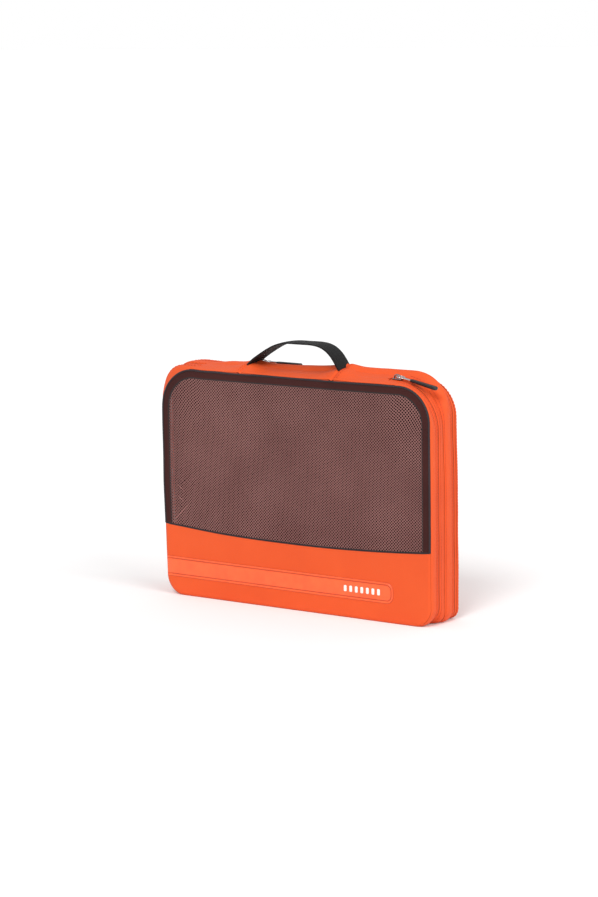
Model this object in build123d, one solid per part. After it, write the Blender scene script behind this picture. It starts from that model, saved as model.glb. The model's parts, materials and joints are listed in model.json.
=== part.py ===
from build123d import *
import math
import os

# Packing cube with two zipped compartments, millimetres.
# X runs along the width, Y from the front lid (-Y) to the rear lid (+Y), Z up.
# The origin is the middle of the base that the cube stands on.

# Driving dimensions of the case
WIDTH = 340.0
CORNER_R = 50.0
BASE_CORNER_R = 22.0
WALL = 1.2
GAP = 0.4

# Depths of the seams, from front to rear
FRONT_SEAM_Y = -26.5
FRONT_TAPE_EDGE_Y = -16.0
FRONT_SLIT_Y = -10.0
FRONT_TAPE_SEWN_Y = 0.8
DIVIDER_Y = 3.1
CROWN_Y = 10.0
REAR_TAPE_SEWN_Y = 15.0
REAR_SLIT_Y = 20.5
REAR_TAPE_EDGE_Y = 24.5
REAR_SEAM_Y = 27.3

# Heights of the top along the depth
FRONT_SEAM_TOP = 250.0
FRONT_ZIP_TOP = 253.0
CROWN_TOP = 260.0
REAR_ZIP_TOP = 253.4
REAR_SEAM_TOP = 250.8
TOP_PROFILE = [
    (FRONT_SEAM_Y, FRONT_SEAM_TOP),
    (FRONT_TAPE_EDGE_Y, FRONT_ZIP_TOP),
    (FRONT_TAPE_SEWN_Y, FRONT_ZIP_TOP),
    (CROWN_Y, CROWN_TOP),
    (REAR_TAPE_SEWN_Y, REAR_ZIP_TOP),
    (REAR_TAPE_EDGE_Y, REAR_ZIP_TOP),
    (REAR_SEAM_Y, REAR_SEAM_TOP),
]

# Zips: the lids are free outside these stretches of the top
FRONT_FOLD_LEFT_X = -134.0
FRONT_FOLD_RIGHT_X = 127.0
REAR_FOLD_LEFT_X = -76.0
REAR_FOLD_RIGHT_X = 127.0
TAPE_T = 0.8
TAPE_INSET = 0.2
SLIT_W = 2.6
COIL_W = 1.3
COIL_T = 1.2
ZIP_END_LENGTH = 14.0

# Front panel: mesh window over a plain lower panel
PANEL_T = 1.2
MESH_T = 0.6
MESH_EDGE_END_Z = 78.0
MESH_EDGE_MID_Z = 71.3
PIPING_W = 2.0
PIPING_T = 1.7
HEM_W = 8.3
EDGE_BINDING_W = 2.0
TRIM_LOW_Z = 20.5
TRIM_HIGH_Z = 43.0
TRIM_END_X = 124.6
TRIM_END_R = 8.5
TRIM_T = 0.5
MARK_COUNT = 7
MARK_PITCH = 6.85
MARK_START_X = 65.5
MARK_W = 3.4
MARK_H = 6.6
MARK_T = 0.3

# Divider and the tapes that bind the inner seams
DIVIDER_T = 0.8
BINDING_T = 0.8
BINDING_W = 3.0

# Handle of flat webbing, sewn into two seams across the top
HANDLE_LEFT_X = -68.0
HANDLE_RIGHT_X = 49.0
HANDLE_BASE_Z = 257.0
HANDLE_RISE = 24.0
WEBBING_W = 24.0
WEBBING_T = 1.6
ROOT_TOP_Z = 262.0
FREE_ARCH_Z = 266.6
TAIL_LENGTH = 16.0

# Slider, pull ring and pull tab
SLIDER_LENGTH = 11.5
SLIDER_W = 8.0
WING_T = 1.0
WING_GAP = 0.7
NECK_W = 1.8
NECK_LENGTH = 3.0
CROWN_LENGTH = 8.4
CROWN_W = 2.0
CROWN_FOOT = 1.6
CROWN_BAR_T = 0.9
SWING_HEIGHT = 4.0
RING_OUTER_R = 5.1
RING_INNER_R = 3.25
RING_T = 1.5
SHANK_W = 3.2
SHANK_LENGTH = 12.0
TAB_LENGTH = 33.0
TAB_W = 6.6
TAB_T = 3.0
TAB_LAP = 4.0
FRONT_SLIDER_X = 120.0
FRONT_DROOP = 12.0
REAR_SLIDER_X = -69.0
REAR_DROOP = 1.0

BIG = 400.0
ABOVE_CORNERS_Z = 195.0


def top_at(y):
    """Height of the case's top at depth y, straight between the seams."""
    if y <= TOP_PROFILE[0][0]:
        return TOP_PROFILE[0][1]
    for (y0, z0), (y1, z1) in zip(TOP_PROFILE, TOP_PROFILE[1:]):
        if y <= y1:
            return z0 + (z1 - z0) * (y - y0) / (y1 - y0)
    return TOP_PROFILE[-1][1]


def upright_plane(y):
    """Plane at depth y, drawn in X and Z, that faces the front."""
    return Plane(origin=(0, y, 0), x_dir=(1, 0, 0), z_dir=(0, -1, 0))


def outline(top, inset=0.0):
    """Rectangle that the case shows from the front, rounder at the top than at the base."""
    shape = Pos(0, top / 2) * Rectangle(WIDTH - 2 * inset, top - 2 * inset)
    shape = fillet(shape.vertices().group_by(Axis.Y)[-1], CORNER_R - inset)
    return fillet(shape.vertices().group_by(Axis.Y)[0], BASE_CORNER_R - inset)


def block(x0, x1, y0, y1, z0, z1):
    """Box between two corners."""
    middle = Pos((x0 + x1) / 2, (y0 + y1) / 2, (z0 + z1) / 2)
    return middle * Box(x1 - x0, y1 - y0, z1 - z0)


def over_top(x0, x1, y0=-BIG, y1=BIG):
    """Everything over the corners, between two places along the width."""
    return block(x0, x1, y0, y1, ABOVE_CORNERS_Z, BIG)


def hull_of_case(y0, y1, inset=0.0):
    """Closed body of the case between two depths."""
    depths = [y0] + [y for y, z in TOP_PROFILE if y0 < y < y1] + [y1]
    return loft([upright_plane(y) * outline(top_at(y), inset) for y in depths], ruled=True)


def band(y0, y1, inset=0.0, wall=WALL):
    """Band of cloth round the case between two depths."""
    return hull_of_case(y0, y1, inset) - hull_of_case(y0, y1, inset + wall)


def front_sheet(sketch, y, thickness):
    """Flat sheet whose rear face is at depth y, growing towards the front."""
    return extrude(upright_plane(y) * sketch, amount=thickness, dir=(0, -1, 0))


def write(node, shape):
    """Save one sub-part under its node name."""
    export_step(shape, f"parts/{node}.step")


# ---------------------------------------------------------------- case


def side_gusset():
    """Long gusset round the case, which widens to both seams beside the handle."""
    gusset = band(FRONT_SEAM_Y + GAP, REAR_SEAM_Y - GAP)
    front_gap = block(-BIG, BIG, -BIG, FRONT_TAPE_SEWN_Y, -BIG, BIG)
    front_gap -= over_top(FRONT_FOLD_LEFT_X, FRONT_FOLD_RIGHT_X)
    rear_gap = block(-BIG, BIG, REAR_TAPE_SEWN_Y, BIG, -BIG, BIG)
    rear_gap -= over_top(REAR_FOLD_LEFT_X, REAR_FOLD_RIGHT_X)
    gusset -= front_gap
    gusset -= rear_gap
    gusset -= over_top(HANDLE_LEFT_X, HANDLE_RIGHT_X)
    gusset -= front_zip_end_space()
    gusset -= rear_zip_end_space()
    return gusset


def handle_panel():
    """Piece of the top between the two seams that hold the handle."""
    margin = GAP / 2
    panel = band(FRONT_SEAM_Y + GAP, REAR_SEAM_Y - GAP)
    panel &= over_top(HANDLE_LEFT_X + margin, HANDLE_RIGHT_X - margin)
    return panel - rear_zip_end_space()


def front_zip_end_space():
    """Stretch of the top that the closed end of the front zip takes up."""
    left = FRONT_FOLD_RIGHT_X - ZIP_END_LENGTH
    return over_top(left, FRONT_FOLD_RIGHT_X, FRONT_TAPE_EDGE_Y, FRONT_TAPE_SEWN_Y)


def rear_zip_end_space():
    """Stretch of the top that the closed end of the rear zip takes up."""
    right = REAR_FOLD_LEFT_X + ZIP_END_LENGTH
    return over_top(REAR_FOLD_LEFT_X, right, REAR_TAPE_SEWN_Y, REAR_SEAM_Y)


def front_zip_tape_case():
    """Case half of the front zip tape, with the closed end that holds the slider."""
    tape = band(FRONT_SLIT_Y + SLIT_W / 2, FRONT_TAPE_SEWN_Y, TAPE_INSET, TAPE_T)
    tape -= over_top(FRONT_FOLD_LEFT_X, FRONT_FOLD_RIGHT_X)
    end = band(FRONT_TAPE_EDGE_Y, FRONT_TAPE_SEWN_Y, TAPE_INSET, TAPE_T) & front_zip_end_space()
    slit_start = FRONT_FOLD_RIGHT_X - ZIP_END_LENGTH + 1.0
    end -= over_top(slit_start, BIG, FRONT_SLIT_Y - SLIT_W / 2, FRONT_SLIT_Y + SLIT_W / 2)
    return tape + end


def rear_zip_tape_case():
    """Case half of the rear zip tape, with the closed end that holds the slider."""
    tape = band(REAR_TAPE_SEWN_Y, REAR_SLIT_Y - SLIT_W / 2, TAPE_INSET, TAPE_T)
    tape -= over_top(REAR_FOLD_LEFT_X, REAR_FOLD_RIGHT_X)
    end = band(REAR_TAPE_SEWN_Y, REAR_SEAM_Y - GAP, TAPE_INSET, TAPE_T) & rear_zip_end_space()
    slit_end = REAR_FOLD_LEFT_X + ZIP_END_LENGTH - 1.0
    end -= over_top(-BIG, slit_end, REAR_SLIT_Y - SLIT_W / 2, REAR_SLIT_Y + SLIT_W / 2)
    return tape + end


def coil(edge_y, side, fold_left_x, fold_right_x):
    """Coil sewn inside a tape edge; side is -1 when it lies in front of the edge."""
    y0, y1 = sorted((edge_y, edge_y + side * COIL_W))
    return band(y0, y1, TAPE_INSET + TAPE_T, COIL_T) - over_top(fold_left_x, fold_right_x)


def webbing_tails(inset, thickness, margin=0.0):
    """Two tails of webbing under the top, beside the handle's seams."""
    half = WEBBING_W / 2
    tails = band(-half, half, inset, thickness)
    left = tails & over_top(HANDLE_LEFT_X - TAIL_LENGTH - margin, HANDLE_LEFT_X + margin)
    right = tails & over_top(HANDLE_RIGHT_X - margin, HANDLE_RIGHT_X + TAIL_LENGTH + margin)
    return left + right


def divider_panel():
    """Sheet that parts the two compartments, notched for the webbing."""
    sheet = outline(top_at(DIVIDER_Y), WALL + 0.1)
    panel = front_sheet(sheet, DIVIDER_Y + DIVIDER_T, DIVIDER_T)
    return panel - webbing_tails(WALL, WEBBING_T + 2 * GAP, GAP)


def divider_binding():
    """Tape that binds the divider's edge into the gusset."""
    start = DIVIDER_Y + DIVIDER_T
    tape = band(start, start + BINDING_W, WALL + 0.1, BINDING_T)
    return tape - webbing_tails(WALL, WEBBING_T + 2 * GAP, GAP)


def zip_end_tabs():
    """Four small tabs sewn over the ends of the two zips."""
    length = 2.4
    width = 6.0
    front_top = FRONT_ZIP_TOP
    rear_top = REAR_ZIP_TOP
    front_end_x = FRONT_FOLD_RIGHT_X - ZIP_END_LENGTH
    rear_end_x = REAR_FOLD_LEFT_X + ZIP_END_LENGTH
    far_end_z = front_top - CORNER_R + math.sqrt(CORNER_R**2 - (120.0 + FRONT_FOLD_LEFT_X) ** 2)
    places = [
        (front_end_x - length, FRONT_SLIT_Y, front_top),
        (FRONT_FOLD_LEFT_X + GAP, FRONT_SLIT_Y, far_end_z + 0.9),
        (rear_end_x, REAR_SLIT_Y, rear_top),
        (REAR_FOLD_RIGHT_X - GAP - length, REAR_SLIT_Y, rear_top),
    ]
    tabs = [block(x, x + length, y - width / 2, y + width / 2, z, z + 0.6) for x, y, z in places]
    return Compound(children=tabs)


# ---------------------------------------------------------------- lids


def above_mesh_edge(rise=0.0):
    """Region over the shallow bowl where the mesh meets the lower panel."""
    half = WIDTH / 2 + 1.0
    low_left = (-half, MESH_EDGE_END_Z + rise)
    low_right = (half, MESH_EDGE_END_Z + rise)
    edge = ThreePointArc(low_left, (0, MESH_EDGE_MID_Z + rise), low_right)
    rest = Polyline(low_right, (half, BIG), (-half, BIG), low_left)
    return make_face(Curve() + [edge, rest])


def front_panel_outline(inset=0.0):
    """Outline of the front panel."""
    return outline(FRONT_SEAM_TOP, inset)


def mesh_window():
    """Sheet of mesh inside its hem."""
    sheet = front_panel_outline(PIPING_W + HEM_W) & above_mesh_edge(EDGE_BINDING_W)
    rear = FRONT_SEAM_Y - (PANEL_T - MESH_T) / 2
    return front_sheet(sheet, rear, MESH_T)


def mesh_hem():
    """Band that hems the mesh at the top and both sides."""
    ring = front_panel_outline(PIPING_W) - front_panel_outline(PIPING_W + HEM_W)
    return front_sheet(ring & above_mesh_edge(EDGE_BINDING_W), FRONT_SEAM_Y, PANEL_T)


def mesh_piping():
    """Piping round the hem."""
    ring = front_panel_outline() - front_panel_outline(PIPING_W)
    return front_sheet(ring & above_mesh_edge(EDGE_BINDING_W), FRONT_SEAM_Y, PIPING_T)


def mesh_edge_binding():
    """Narrow binding along the mesh's bottom edge."""
    strip = front_panel_outline() & above_mesh_edge() - above_mesh_edge(EDGE_BINDING_W)
    return front_sheet(strip, FRONT_SEAM_Y, PANEL_T)


def front_lower_panel():
    """Plain cloth panel under the mesh."""
    return front_sheet(front_panel_outline() - above_mesh_edge(), FRONT_SEAM_Y, PANEL_T)


def trim_strip():
    """Welded strip across the lower panel with one rounded end."""
    length = TRIM_END_X + WIDTH
    height = TRIM_HIGH_Z - TRIM_LOW_Z
    middle = Pos(TRIM_END_X - length / 2, TRIM_LOW_Z + height / 2)
    strip = middle * RectangleRounded(length, height, TRIM_END_R)
    return front_sheet(strip & front_panel_outline(PIPING_W), FRONT_SEAM_Y - PANEL_T, TRIM_T)


def trim_mark():
    """Row of plain upright bars on the strip."""
    bars = Sketch()
    for index in range(MARK_COUNT):
        place = Pos(MARK_START_X + index * MARK_PITCH, (TRIM_LOW_Z + TRIM_HIGH_Z) / 2)
        bars += place * RectangleRounded(MARK_W, MARK_H, MARK_W * 0.35)
    return front_sheet(bars, FRONT_SEAM_Y - PANEL_T - TRIM_T, MARK_T)


def front_lid_piece(y0, y1, inset=0.0, wall=WALL):
    """Band of the front lid, open where the lid folds at the top."""
    return band(y0, y1, inset, wall) - over_top(FRONT_FOLD_LEFT_X - GAP, FRONT_FOLD_RIGHT_X + GAP)


def rear_lid_piece(y0, y1, inset=0.0, wall=WALL):
    """Band of the rear lid, open where the lid folds at the top."""
    return band(y0, y1, inset, wall) - over_top(REAR_FOLD_LEFT_X - GAP, REAR_FOLD_RIGHT_X + GAP)


def rear_panel():
    """Plain cloth panel of the rear lid."""
    return front_sheet(outline(REAR_SEAM_TOP), REAR_SEAM_Y + PANEL_T, PANEL_T)


# ---------------------------------------------------------------- handle


def webbing_arch():
    """Whole arch of the webbing, from inside the case to its crest."""
    half_span = (HANDLE_RIGHT_X - HANDLE_LEFT_X) / 2
    radius = (half_span**2 + HANDLE_RISE**2) / (2 * HANDLE_RISE)
    centre = Pos((HANDLE_LEFT_X + HANDLE_RIGHT_X) / 2, HANDLE_BASE_Z + HANDLE_RISE - radius)
    arch = centre * (Circle(radius + WEBBING_T) - Circle(radius))
    return front_sheet(arch, WEBBING_W / 2, WEBBING_W)


def handle_webbing():
    """Free arch of the handle, clear of its sewn ends when it tilts."""
    return webbing_arch() & block(-BIG, BIG, -BIG, BIG, FREE_ARCH_Z, BIG)


def handle_sewn_ends():
    """Ends of the webbing: the stretch over each seam and the tail inside it."""
    low_z = FRONT_ZIP_TOP - WALL
    roots = webbing_arch() & block(-BIG, BIG, -BIG, BIG, low_z, ROOT_TOP_Z)
    roots -= hull_of_case(FRONT_SEAM_Y, REAR_SEAM_Y, -0.1)
    tails = webbing_tails(WALL + 0.1, WEBBING_T)
    return Compound(children=roots.solids() + tails.solids())


# ---------------------------------------------------------------- zip sliders


def slider_body(x, y, z):
    """Slider on the tape whose outer face is at height z, with its crown."""
    half = SLIDER_LENGTH / 2
    wing_z = z + WING_GAP
    lower_z = z - TAPE_INSET - TAPE_T - COIL_T - WING_GAP
    upper = Pos(x, y, wing_z + WING_T / 2) * extrude(wing_shape(), WING_T / 2, both=True)
    lower = Pos(x, y, lower_z - WING_T / 2) * extrude(wing_shape(), WING_T / 2, both=True)
    neck_x = x + half - NECK_LENGTH - 2.0
    neck = block(neck_x, neck_x + NECK_LENGTH, y - NECK_W / 2, y + NECK_W / 2, lower_z, wing_z)
    crown_top = z + SWING_HEIGHT + 1.4 + CROWN_BAR_T
    crown_half = CROWN_LENGTH / 2
    crown_side = CROWN_W / 2
    crown = block(x - crown_half, x + crown_half, y - crown_side, y + crown_side, wing_z + WING_T, crown_top)
    window_half = crown_half - CROWN_FOOT
    window_top = crown_top - CROWN_BAR_T
    crown -= block(x - window_half, x + window_half, y - CROWN_W, y + CROWN_W, wing_z + WING_T, window_top)
    return upper + neck + lower + crown


def wing_shape():
    """Outline of a slider wing, narrow at the closed end."""
    half = SLIDER_LENGTH / 2
    side = SLIDER_W / 2
    points = [(-half, -side * 0.55), (-half * 0.2, -side), (half, -side)]
    points += [(half, side), (-half * 0.2, side), (-half, side * 0.55)]
    return make_face(Polyline(*points, close=True))


def pull_ring(x, y, z, droop):
    """Metal ring under the slider's crown, with the shank that holds the tab."""
    middle_r = (RING_OUTER_R + RING_INNER_R) / 2
    ring = Pos(middle_r, 0) * (Circle(RING_OUTER_R) - Circle(RING_INNER_R))
    far_x = middle_r + RING_INNER_R + 0.6
    shank = Pos(far_x + SHANK_LENGTH / 2, 0) * Rectangle(SHANK_LENGTH, SHANK_W)
    plate = extrude(ring + shank, RING_T / 2, both=True)
    return hung(plate, x, y, z, droop)


def pull_tab(x, y, z, droop):
    """Rubber tab moulded over the end of the shank."""
    shank_end = (RING_OUTER_R + RING_INNER_R) / 2 + RING_INNER_R + 0.6 + SHANK_LENGTH
    start = shank_end - TAB_LAP
    shape = Pos(start + TAB_LENGTH / 2, 0) * RectangleRounded(TAB_LENGTH, TAB_W, TAB_W * 0.45)
    tab = extrude(shape, TAB_T / 2, both=True)
    socket = block(start - 1.0, shank_end, -SHANK_W / 2, SHANK_W / 2, -RING_T / 2, RING_T / 2)
    return hung(tab - socket, x, y, z, droop)


def hung(piece, x, y, z, droop):
    """Piece drawn from its swing axis along +X, drooped and put on the slider."""
    return Pos(x, y, z + SWING_HEIGHT) * Rot(0, droop, 0) * piece


def write_slider_set(side, x, y, z, droop):
    """Slider, ring and tab of one zip."""
    write(f"{side}_slider_body", slider_body(x, y, z))
    write(f"{side}_pull_ring", pull_ring(x, y, z, droop))
    write(f"{side}_pull_tab", pull_tab(x, y, z, droop))


def main():
    """Write every sub-part of the packing cube."""
    os.makedirs("parts", exist_ok=True)
    front_edge = FRONT_SLIT_Y - SLIT_W / 2
    front_case_edge = FRONT_SLIT_Y + SLIT_W / 2
    rear_edge = REAR_SLIT_Y + SLIT_W / 2
    rear_case_edge = REAR_SLIT_Y - SLIT_W / 2

    write("side_gusset", side_gusset())
    write("handle_panel", handle_panel())
    write("front_zip_tape_case", front_zip_tape_case())
    write("rear_zip_tape_case", rear_zip_tape_case())
    write("front_zip_coil_case", coil(front_case_edge, 1, FRONT_FOLD_LEFT_X, FRONT_FOLD_RIGHT_X))
    write("rear_zip_coil_case", coil(rear_case_edge, -1, REAR_FOLD_LEFT_X, REAR_FOLD_RIGHT_X))
    write("zip_end_tabs", zip_end_tabs())
    write("divider_panel", divider_panel())
    write("divider_binding", divider_binding())
    write("handle_sewn_ends", handle_sewn_ends())
    write("handle_webbing", handle_webbing())

    write("mesh_window", mesh_window())
    write("mesh_hem", mesh_hem())
    write("mesh_piping", mesh_piping())
    write("mesh_edge_binding", mesh_edge_binding())
    write("front_lower_panel", front_lower_panel())
    write("trim_strip", trim_strip())
    write("trim_mark", trim_mark())
    write("front_lid_strip", front_lid_piece(FRONT_SEAM_Y, FRONT_TAPE_EDGE_Y))
    write("front_zip_tape_lid", front_lid_piece(FRONT_TAPE_EDGE_Y, front_edge, TAPE_INSET, TAPE_T))
    write("front_zip_coil_lid", front_lid_piece(front_edge - COIL_W, front_edge, TAPE_INSET + TAPE_T, COIL_T))
    write("front_seam_binding", front_lid_piece(FRONT_SEAM_Y, FRONT_SEAM_Y + BINDING_W, WALL + 0.1, BINDING_T))

    write("rear_panel", rear_panel())
    write("rear_lid_strip", rear_lid_piece(REAR_TAPE_EDGE_Y, REAR_SEAM_Y))
    write("rear_zip_tape_lid", rear_lid_piece(rear_edge, REAR_TAPE_EDGE_Y, TAPE_INSET, TAPE_T))
    write("rear_zip_coil_lid", rear_lid_piece(rear_edge, rear_edge + COIL_W, TAPE_INSET + TAPE_T, COIL_T))
    write("rear_seam_binding", rear_lid_piece(REAR_SEAM_Y - BINDING_W, REAR_SEAM_Y, WALL + 0.1, BINDING_T))

    write_slider_set("front", FRONT_SLIDER_X, FRONT_SLIT_Y, FRONT_ZIP_TOP - TAPE_INSET, FRONT_DROOP)
    write_slider_set("rear", REAR_SLIDER_X, REAR_SLIT_Y, REAR_ZIP_TOP - TAPE_INSET, REAR_DROOP)


main()
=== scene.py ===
"""Looks of the packing cube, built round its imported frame.

A piece is shaped in millimetres, in the frame's own axes, and Workpiece.finish turns it into metres.
"""
import json
import logging
import math
from dataclasses import dataclass
from enum import Enum
from functools import lru_cache
from typing import Callable, Iterator, Optional, Sequence

import bmesh
import bpy
from mathutils import Matrix, Vector, noise


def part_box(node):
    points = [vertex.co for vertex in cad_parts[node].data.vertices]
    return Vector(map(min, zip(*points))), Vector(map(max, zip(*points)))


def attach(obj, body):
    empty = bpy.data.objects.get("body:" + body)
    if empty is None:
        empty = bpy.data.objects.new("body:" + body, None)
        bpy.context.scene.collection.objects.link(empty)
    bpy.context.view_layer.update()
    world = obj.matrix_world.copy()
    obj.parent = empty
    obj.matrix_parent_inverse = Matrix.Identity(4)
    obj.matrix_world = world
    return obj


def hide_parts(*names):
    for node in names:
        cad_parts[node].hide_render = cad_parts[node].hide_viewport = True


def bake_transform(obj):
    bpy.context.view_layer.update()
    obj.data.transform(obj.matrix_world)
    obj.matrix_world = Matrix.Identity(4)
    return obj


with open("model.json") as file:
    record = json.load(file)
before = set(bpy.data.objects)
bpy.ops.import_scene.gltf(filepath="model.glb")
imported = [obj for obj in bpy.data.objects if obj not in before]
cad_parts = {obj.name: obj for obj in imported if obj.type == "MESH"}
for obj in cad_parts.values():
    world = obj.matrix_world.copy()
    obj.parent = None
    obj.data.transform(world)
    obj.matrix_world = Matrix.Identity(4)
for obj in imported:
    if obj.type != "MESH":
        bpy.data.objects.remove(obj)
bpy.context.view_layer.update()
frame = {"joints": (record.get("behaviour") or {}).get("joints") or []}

LOG = logging.getLogger("packing_cube")
METRE = 1000.0
CLOTH_UV = "Cloth"
CORNER_STEPS = 22
EDGE_STEP = 5.0
ROW_STEP = 2.4
CLOSE_ROWS = (0.0, 0.4, 0.9, 1.6)
PANEL_RINGS = (0.6, 0.9, 1.2, 1.6)
PANEL_CELL = 8.0
# Inner sides and rims of cloth take the divider's very dark brown. This is partly the lining's own colour and
# partly painted shade of the inside of the case.
LINING = 2

Mesh = bmesh.types.BMesh
Corner = bmesh.types.BMVert
Edge = bmesh.types.BMEdge
Face = bmesh.types.BMFace
Test = Callable[[Vector], bool]
Colour = tuple[float, float, float]


# ------------------------------------------------------------------ small sums


def smooth(share: float) -> float:
    """Ease from 0 to 1 with level ends."""
    share = min(max(share, 0.0), 1.0)
    return share * share * (3.0 - 2.0 * share)


def clamp(value: float, low: float, high: float) -> float:
    """Value held between two limits."""
    return min(max(value, low), high)


def hump(distance: float, width: float) -> float:
    """Bell that is 1 at no distance and fades over a width."""
    return math.exp(-((distance / width) ** 2))


def node_box(node: str) -> tuple[Vector, Vector]:
    """Lowest and highest corner of a CAD node, in millimetres."""
    low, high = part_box(node)
    return low * METRE, high * METRE


def joint_place(name: str) -> Vector:
    """Point on a joint's axis, in millimetres."""
    joint = next(j for j in frame["joints"] if j["name"] == name)
    return Vector(joint["pos_m"]) * METRE


def linear(red: int, green: int, blue: int) -> Colour:
    """Scene colour of a screen colour given as three numbers up to 255.

    Args:
        red: Red, up to 255.
        green: Green.
        blue: Blue.

    Returns:
        The colour as the shader takes it.
    """

    def one(channel: int) -> float:
        """Scene value of one channel."""
        share = channel / 255.0
        return share / 12.92 if share <= 0.04045 else ((share + 0.055) / 1.055) ** 2.4

    return one(red), one(green), one(blue)


# ------------------------------------------------------------------ form of the case


@dataclass(frozen=True)
class Softness:
    """How the sewn cloth gives way, in millimetres.

    A pair of corner radii is the one at the front seam and the one of the body behind it.
    """

    seam_groove: float = 0.45
    slit_groove: float = 0.7
    ripple: float = 0.42
    swells: tuple[float, ...] = (0.9, 0.25, 1.2, 0.15, 0.3)
    whole_swell: float = 0.9
    left_corner: tuple[float, float] = (42.0, 23.0)
    right_corner: float = 38.0
    base_corner_less: tuple[float, float] = (1.0, 9.0)
    left_hang: tuple[float, float] = (2.4, 1.6)
    right_tuck: float = 1.6
    left_lean: float = 4.2
    crown_pull: float = 3.2
    front_pull: float = 3.4
    handle_slack: float = 1.7
    cross_dip: float = 1.2
    cross_dip_width: float = 1.6
    sheet_wave: float = 0.8


@dataclass(frozen=True)
class CaseForm:
    """Outer shape of the case, in millimetres.

    Pieces are drawn on a plain rounded box and then settled. That lowers the top towards its seams, fills
    the soft corners, lets the left side hang out and the crown sink there, swells each band of cloth
    between its seams and adds the shallow ripples of sewn cloth.
    """

    half_width: float
    height: float
    corner: float
    front_seam: float
    front_tape: float
    front_slit: float
    front_sewn: float
    rear_sewn: float
    rear_slit: float
    rear_tape: float
    rear_seam: float
    handle_left: float
    handle_right: float
    front_fold: tuple[float, float]
    rear_fold: tuple[float, float]
    base_corner: float = 22.0
    garage: float = 14.0
    soft: Softness = Softness()

    @classmethod
    def from_frame(cls) -> "CaseForm":
        """Read the case's sizes off the CAD nodes.

        Returns:
            The form.
        """
        low, high = node_box("side_gusset")
        strip = node_box("front_lid_strip")
        tape = node_box("front_zip_tape_lid")
        rear_strip = node_box("rear_lid_strip")
        rear_tape_case = node_box("rear_zip_tape_case")
        panel = node_box("handle_panel")
        arc = joint_place("front_slider_travel")
        return cls(
            half_width=high.x,
            height=high.z,
            corner=high.x - arc.x,
            front_seam=strip[0].y,
            front_tape=tape[0].y,
            front_slit=arc.y,
            front_sewn=node_box("front_zip_tape_case")[1].y,
            rear_sewn=rear_tape_case[0].y,
            rear_slit=joint_place("rear_puller_swing").y,
            rear_tape=rear_strip[0].y,
            rear_seam=rear_strip[1].y,
            handle_left=panel[0].x,
            handle_right=panel[1].x,
            front_fold=(-134.0, 127.0),
            rear_fold=(-76.0, 127.0),
        )

    @property
    def crown(self) -> float:
        """Depth at which the top is highest."""
        return self.front_sewn + 0.62 * (self.rear_sewn - self.front_sewn)

    @property
    def seams(self) -> tuple[float, ...]:
        """Depths of the seams that run round the case."""
        front = (self.front_seam, self.front_tape, self.front_sewn)
        return (*front, self.rear_sewn, self.rear_tape, self.rear_seam)

    @property
    def legs(self) -> tuple[tuple[Vector, float, float, float], ...]:
        """Stretches of the outline from the middle of its right side, up and over the top.

        Returns:
            Start or centre, first direction, length, and radius or 0, for each stretch.
        """
        wide, high, top, low = self.half_width, self.height, self.corner, self.base_corner
        quarter = math.pi / 2.0
        return (
            (Vector((wide, 0, high / 2.0)), quarter, high / 2.0 - top, 0.0),
            (Vector((wide - top, 0, high - top)), 0.0, quarter * top, top),
            (Vector((wide - top, 0, high)), 2.0 * quarter, 2.0 * (wide - top), 0.0),
            (Vector((top - wide, 0, high - top)), quarter, quarter * top, top),
            (Vector((-wide, 0, high - top)), 3.0 * quarter, high - top - low, 0.0),
            (Vector((low - wide, 0, low)), 2.0 * quarter, quarter * low, low),
            (Vector((low - wide, 0, 0)), 0.0, 2.0 * (wide - low), 0.0),
            (Vector((wide - low, 0, low)), 3.0 * quarter, quarter * low, low),
            (Vector((wide, 0, low)), quarter, high / 2.0 - low, 0.0),
        )

    @property
    def perimeter(self) -> float:
        """Length of the plain outline."""
        return sum(leg[2] for leg in self.legs)

    def top_at(self, x: float) -> float:
        """Height of the plain outline's top over a place across it."""
        reach = max(abs(x) - (self.half_width - self.corner), 0.0)
        return self.height - self.corner + math.sqrt(self.corner**2 - reach**2)

    def radius_at(self, z: float) -> float:
        """Corner radius of the half that a height is in."""
        return self.corner if z > self.height / 2.0 else self.base_corner

    def nearest(self, x: float, z: float) -> tuple[Vector, Vector]:
        """Centre of curvature nearest to a point of the outline, and the way outwards from it.

        Args:
            x: Place across.
            z: Height.

        Returns:
            The centre and the unit vector.
        """
        flat = self.half_width - self.radius_at(z)
        centre = Vector((clamp(x, -flat, flat), 0.0, clamp(z, self.base_corner, self.height - self.corner)))
        away = Vector((x - centre.x, 0.0, z - centre.z))
        return centre, away.normalized() if away.length > 1e-6 else Vector((0.0, 0.0, 1.0))

    def inside(self, x: float, z: float) -> float:
        """Distance from a point in to the nearest edge of the outline.

        Args:
            x: Place across.
            z: Height.

        Returns:
            The distance, below 0 outside.
        """
        radius = self.radius_at(z)
        over_x = abs(x) - (self.half_width - radius)
        over_z = z - self.height + radius if z > self.height / 2.0 else radius - z
        corner = math.hypot(max(over_x, 0.0), max(over_z, 0.0))
        return radius - corner - min(max(over_x, over_z), 0.0)

    @lru_cache(maxsize=20000)
    def around(self, x: float, z: float) -> float:
        """Distance round the outline from the middle of its right side, up and over the top.

        Args:
            x: Place across.
            z: Height.

        Returns:
            The distance to the nearest point of the outline.
        """
        best, reached, passed = math.inf, 0.0, 0.0
        for start, turn, length, radius in self.legs:
            away = Vector((x - start.x, 0.0, z - start.z))
            if radius:
                angle = (math.atan2(away.z, away.x) - turn) % (2.0 * math.pi)
                share = angle * radius
                gap = abs(away.length - radius) if share <= length + 0.01 else math.inf
            else:
                along = Vector((math.cos(turn), 0.0, math.sin(turn)))
                share = clamp(away.dot(along), 0.0, length)
                gap = (away - along * share).length
            if gap < best - 1e-4:
                best, reached = gap, passed + min(share, length)
            passed += length
        return reached

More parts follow.
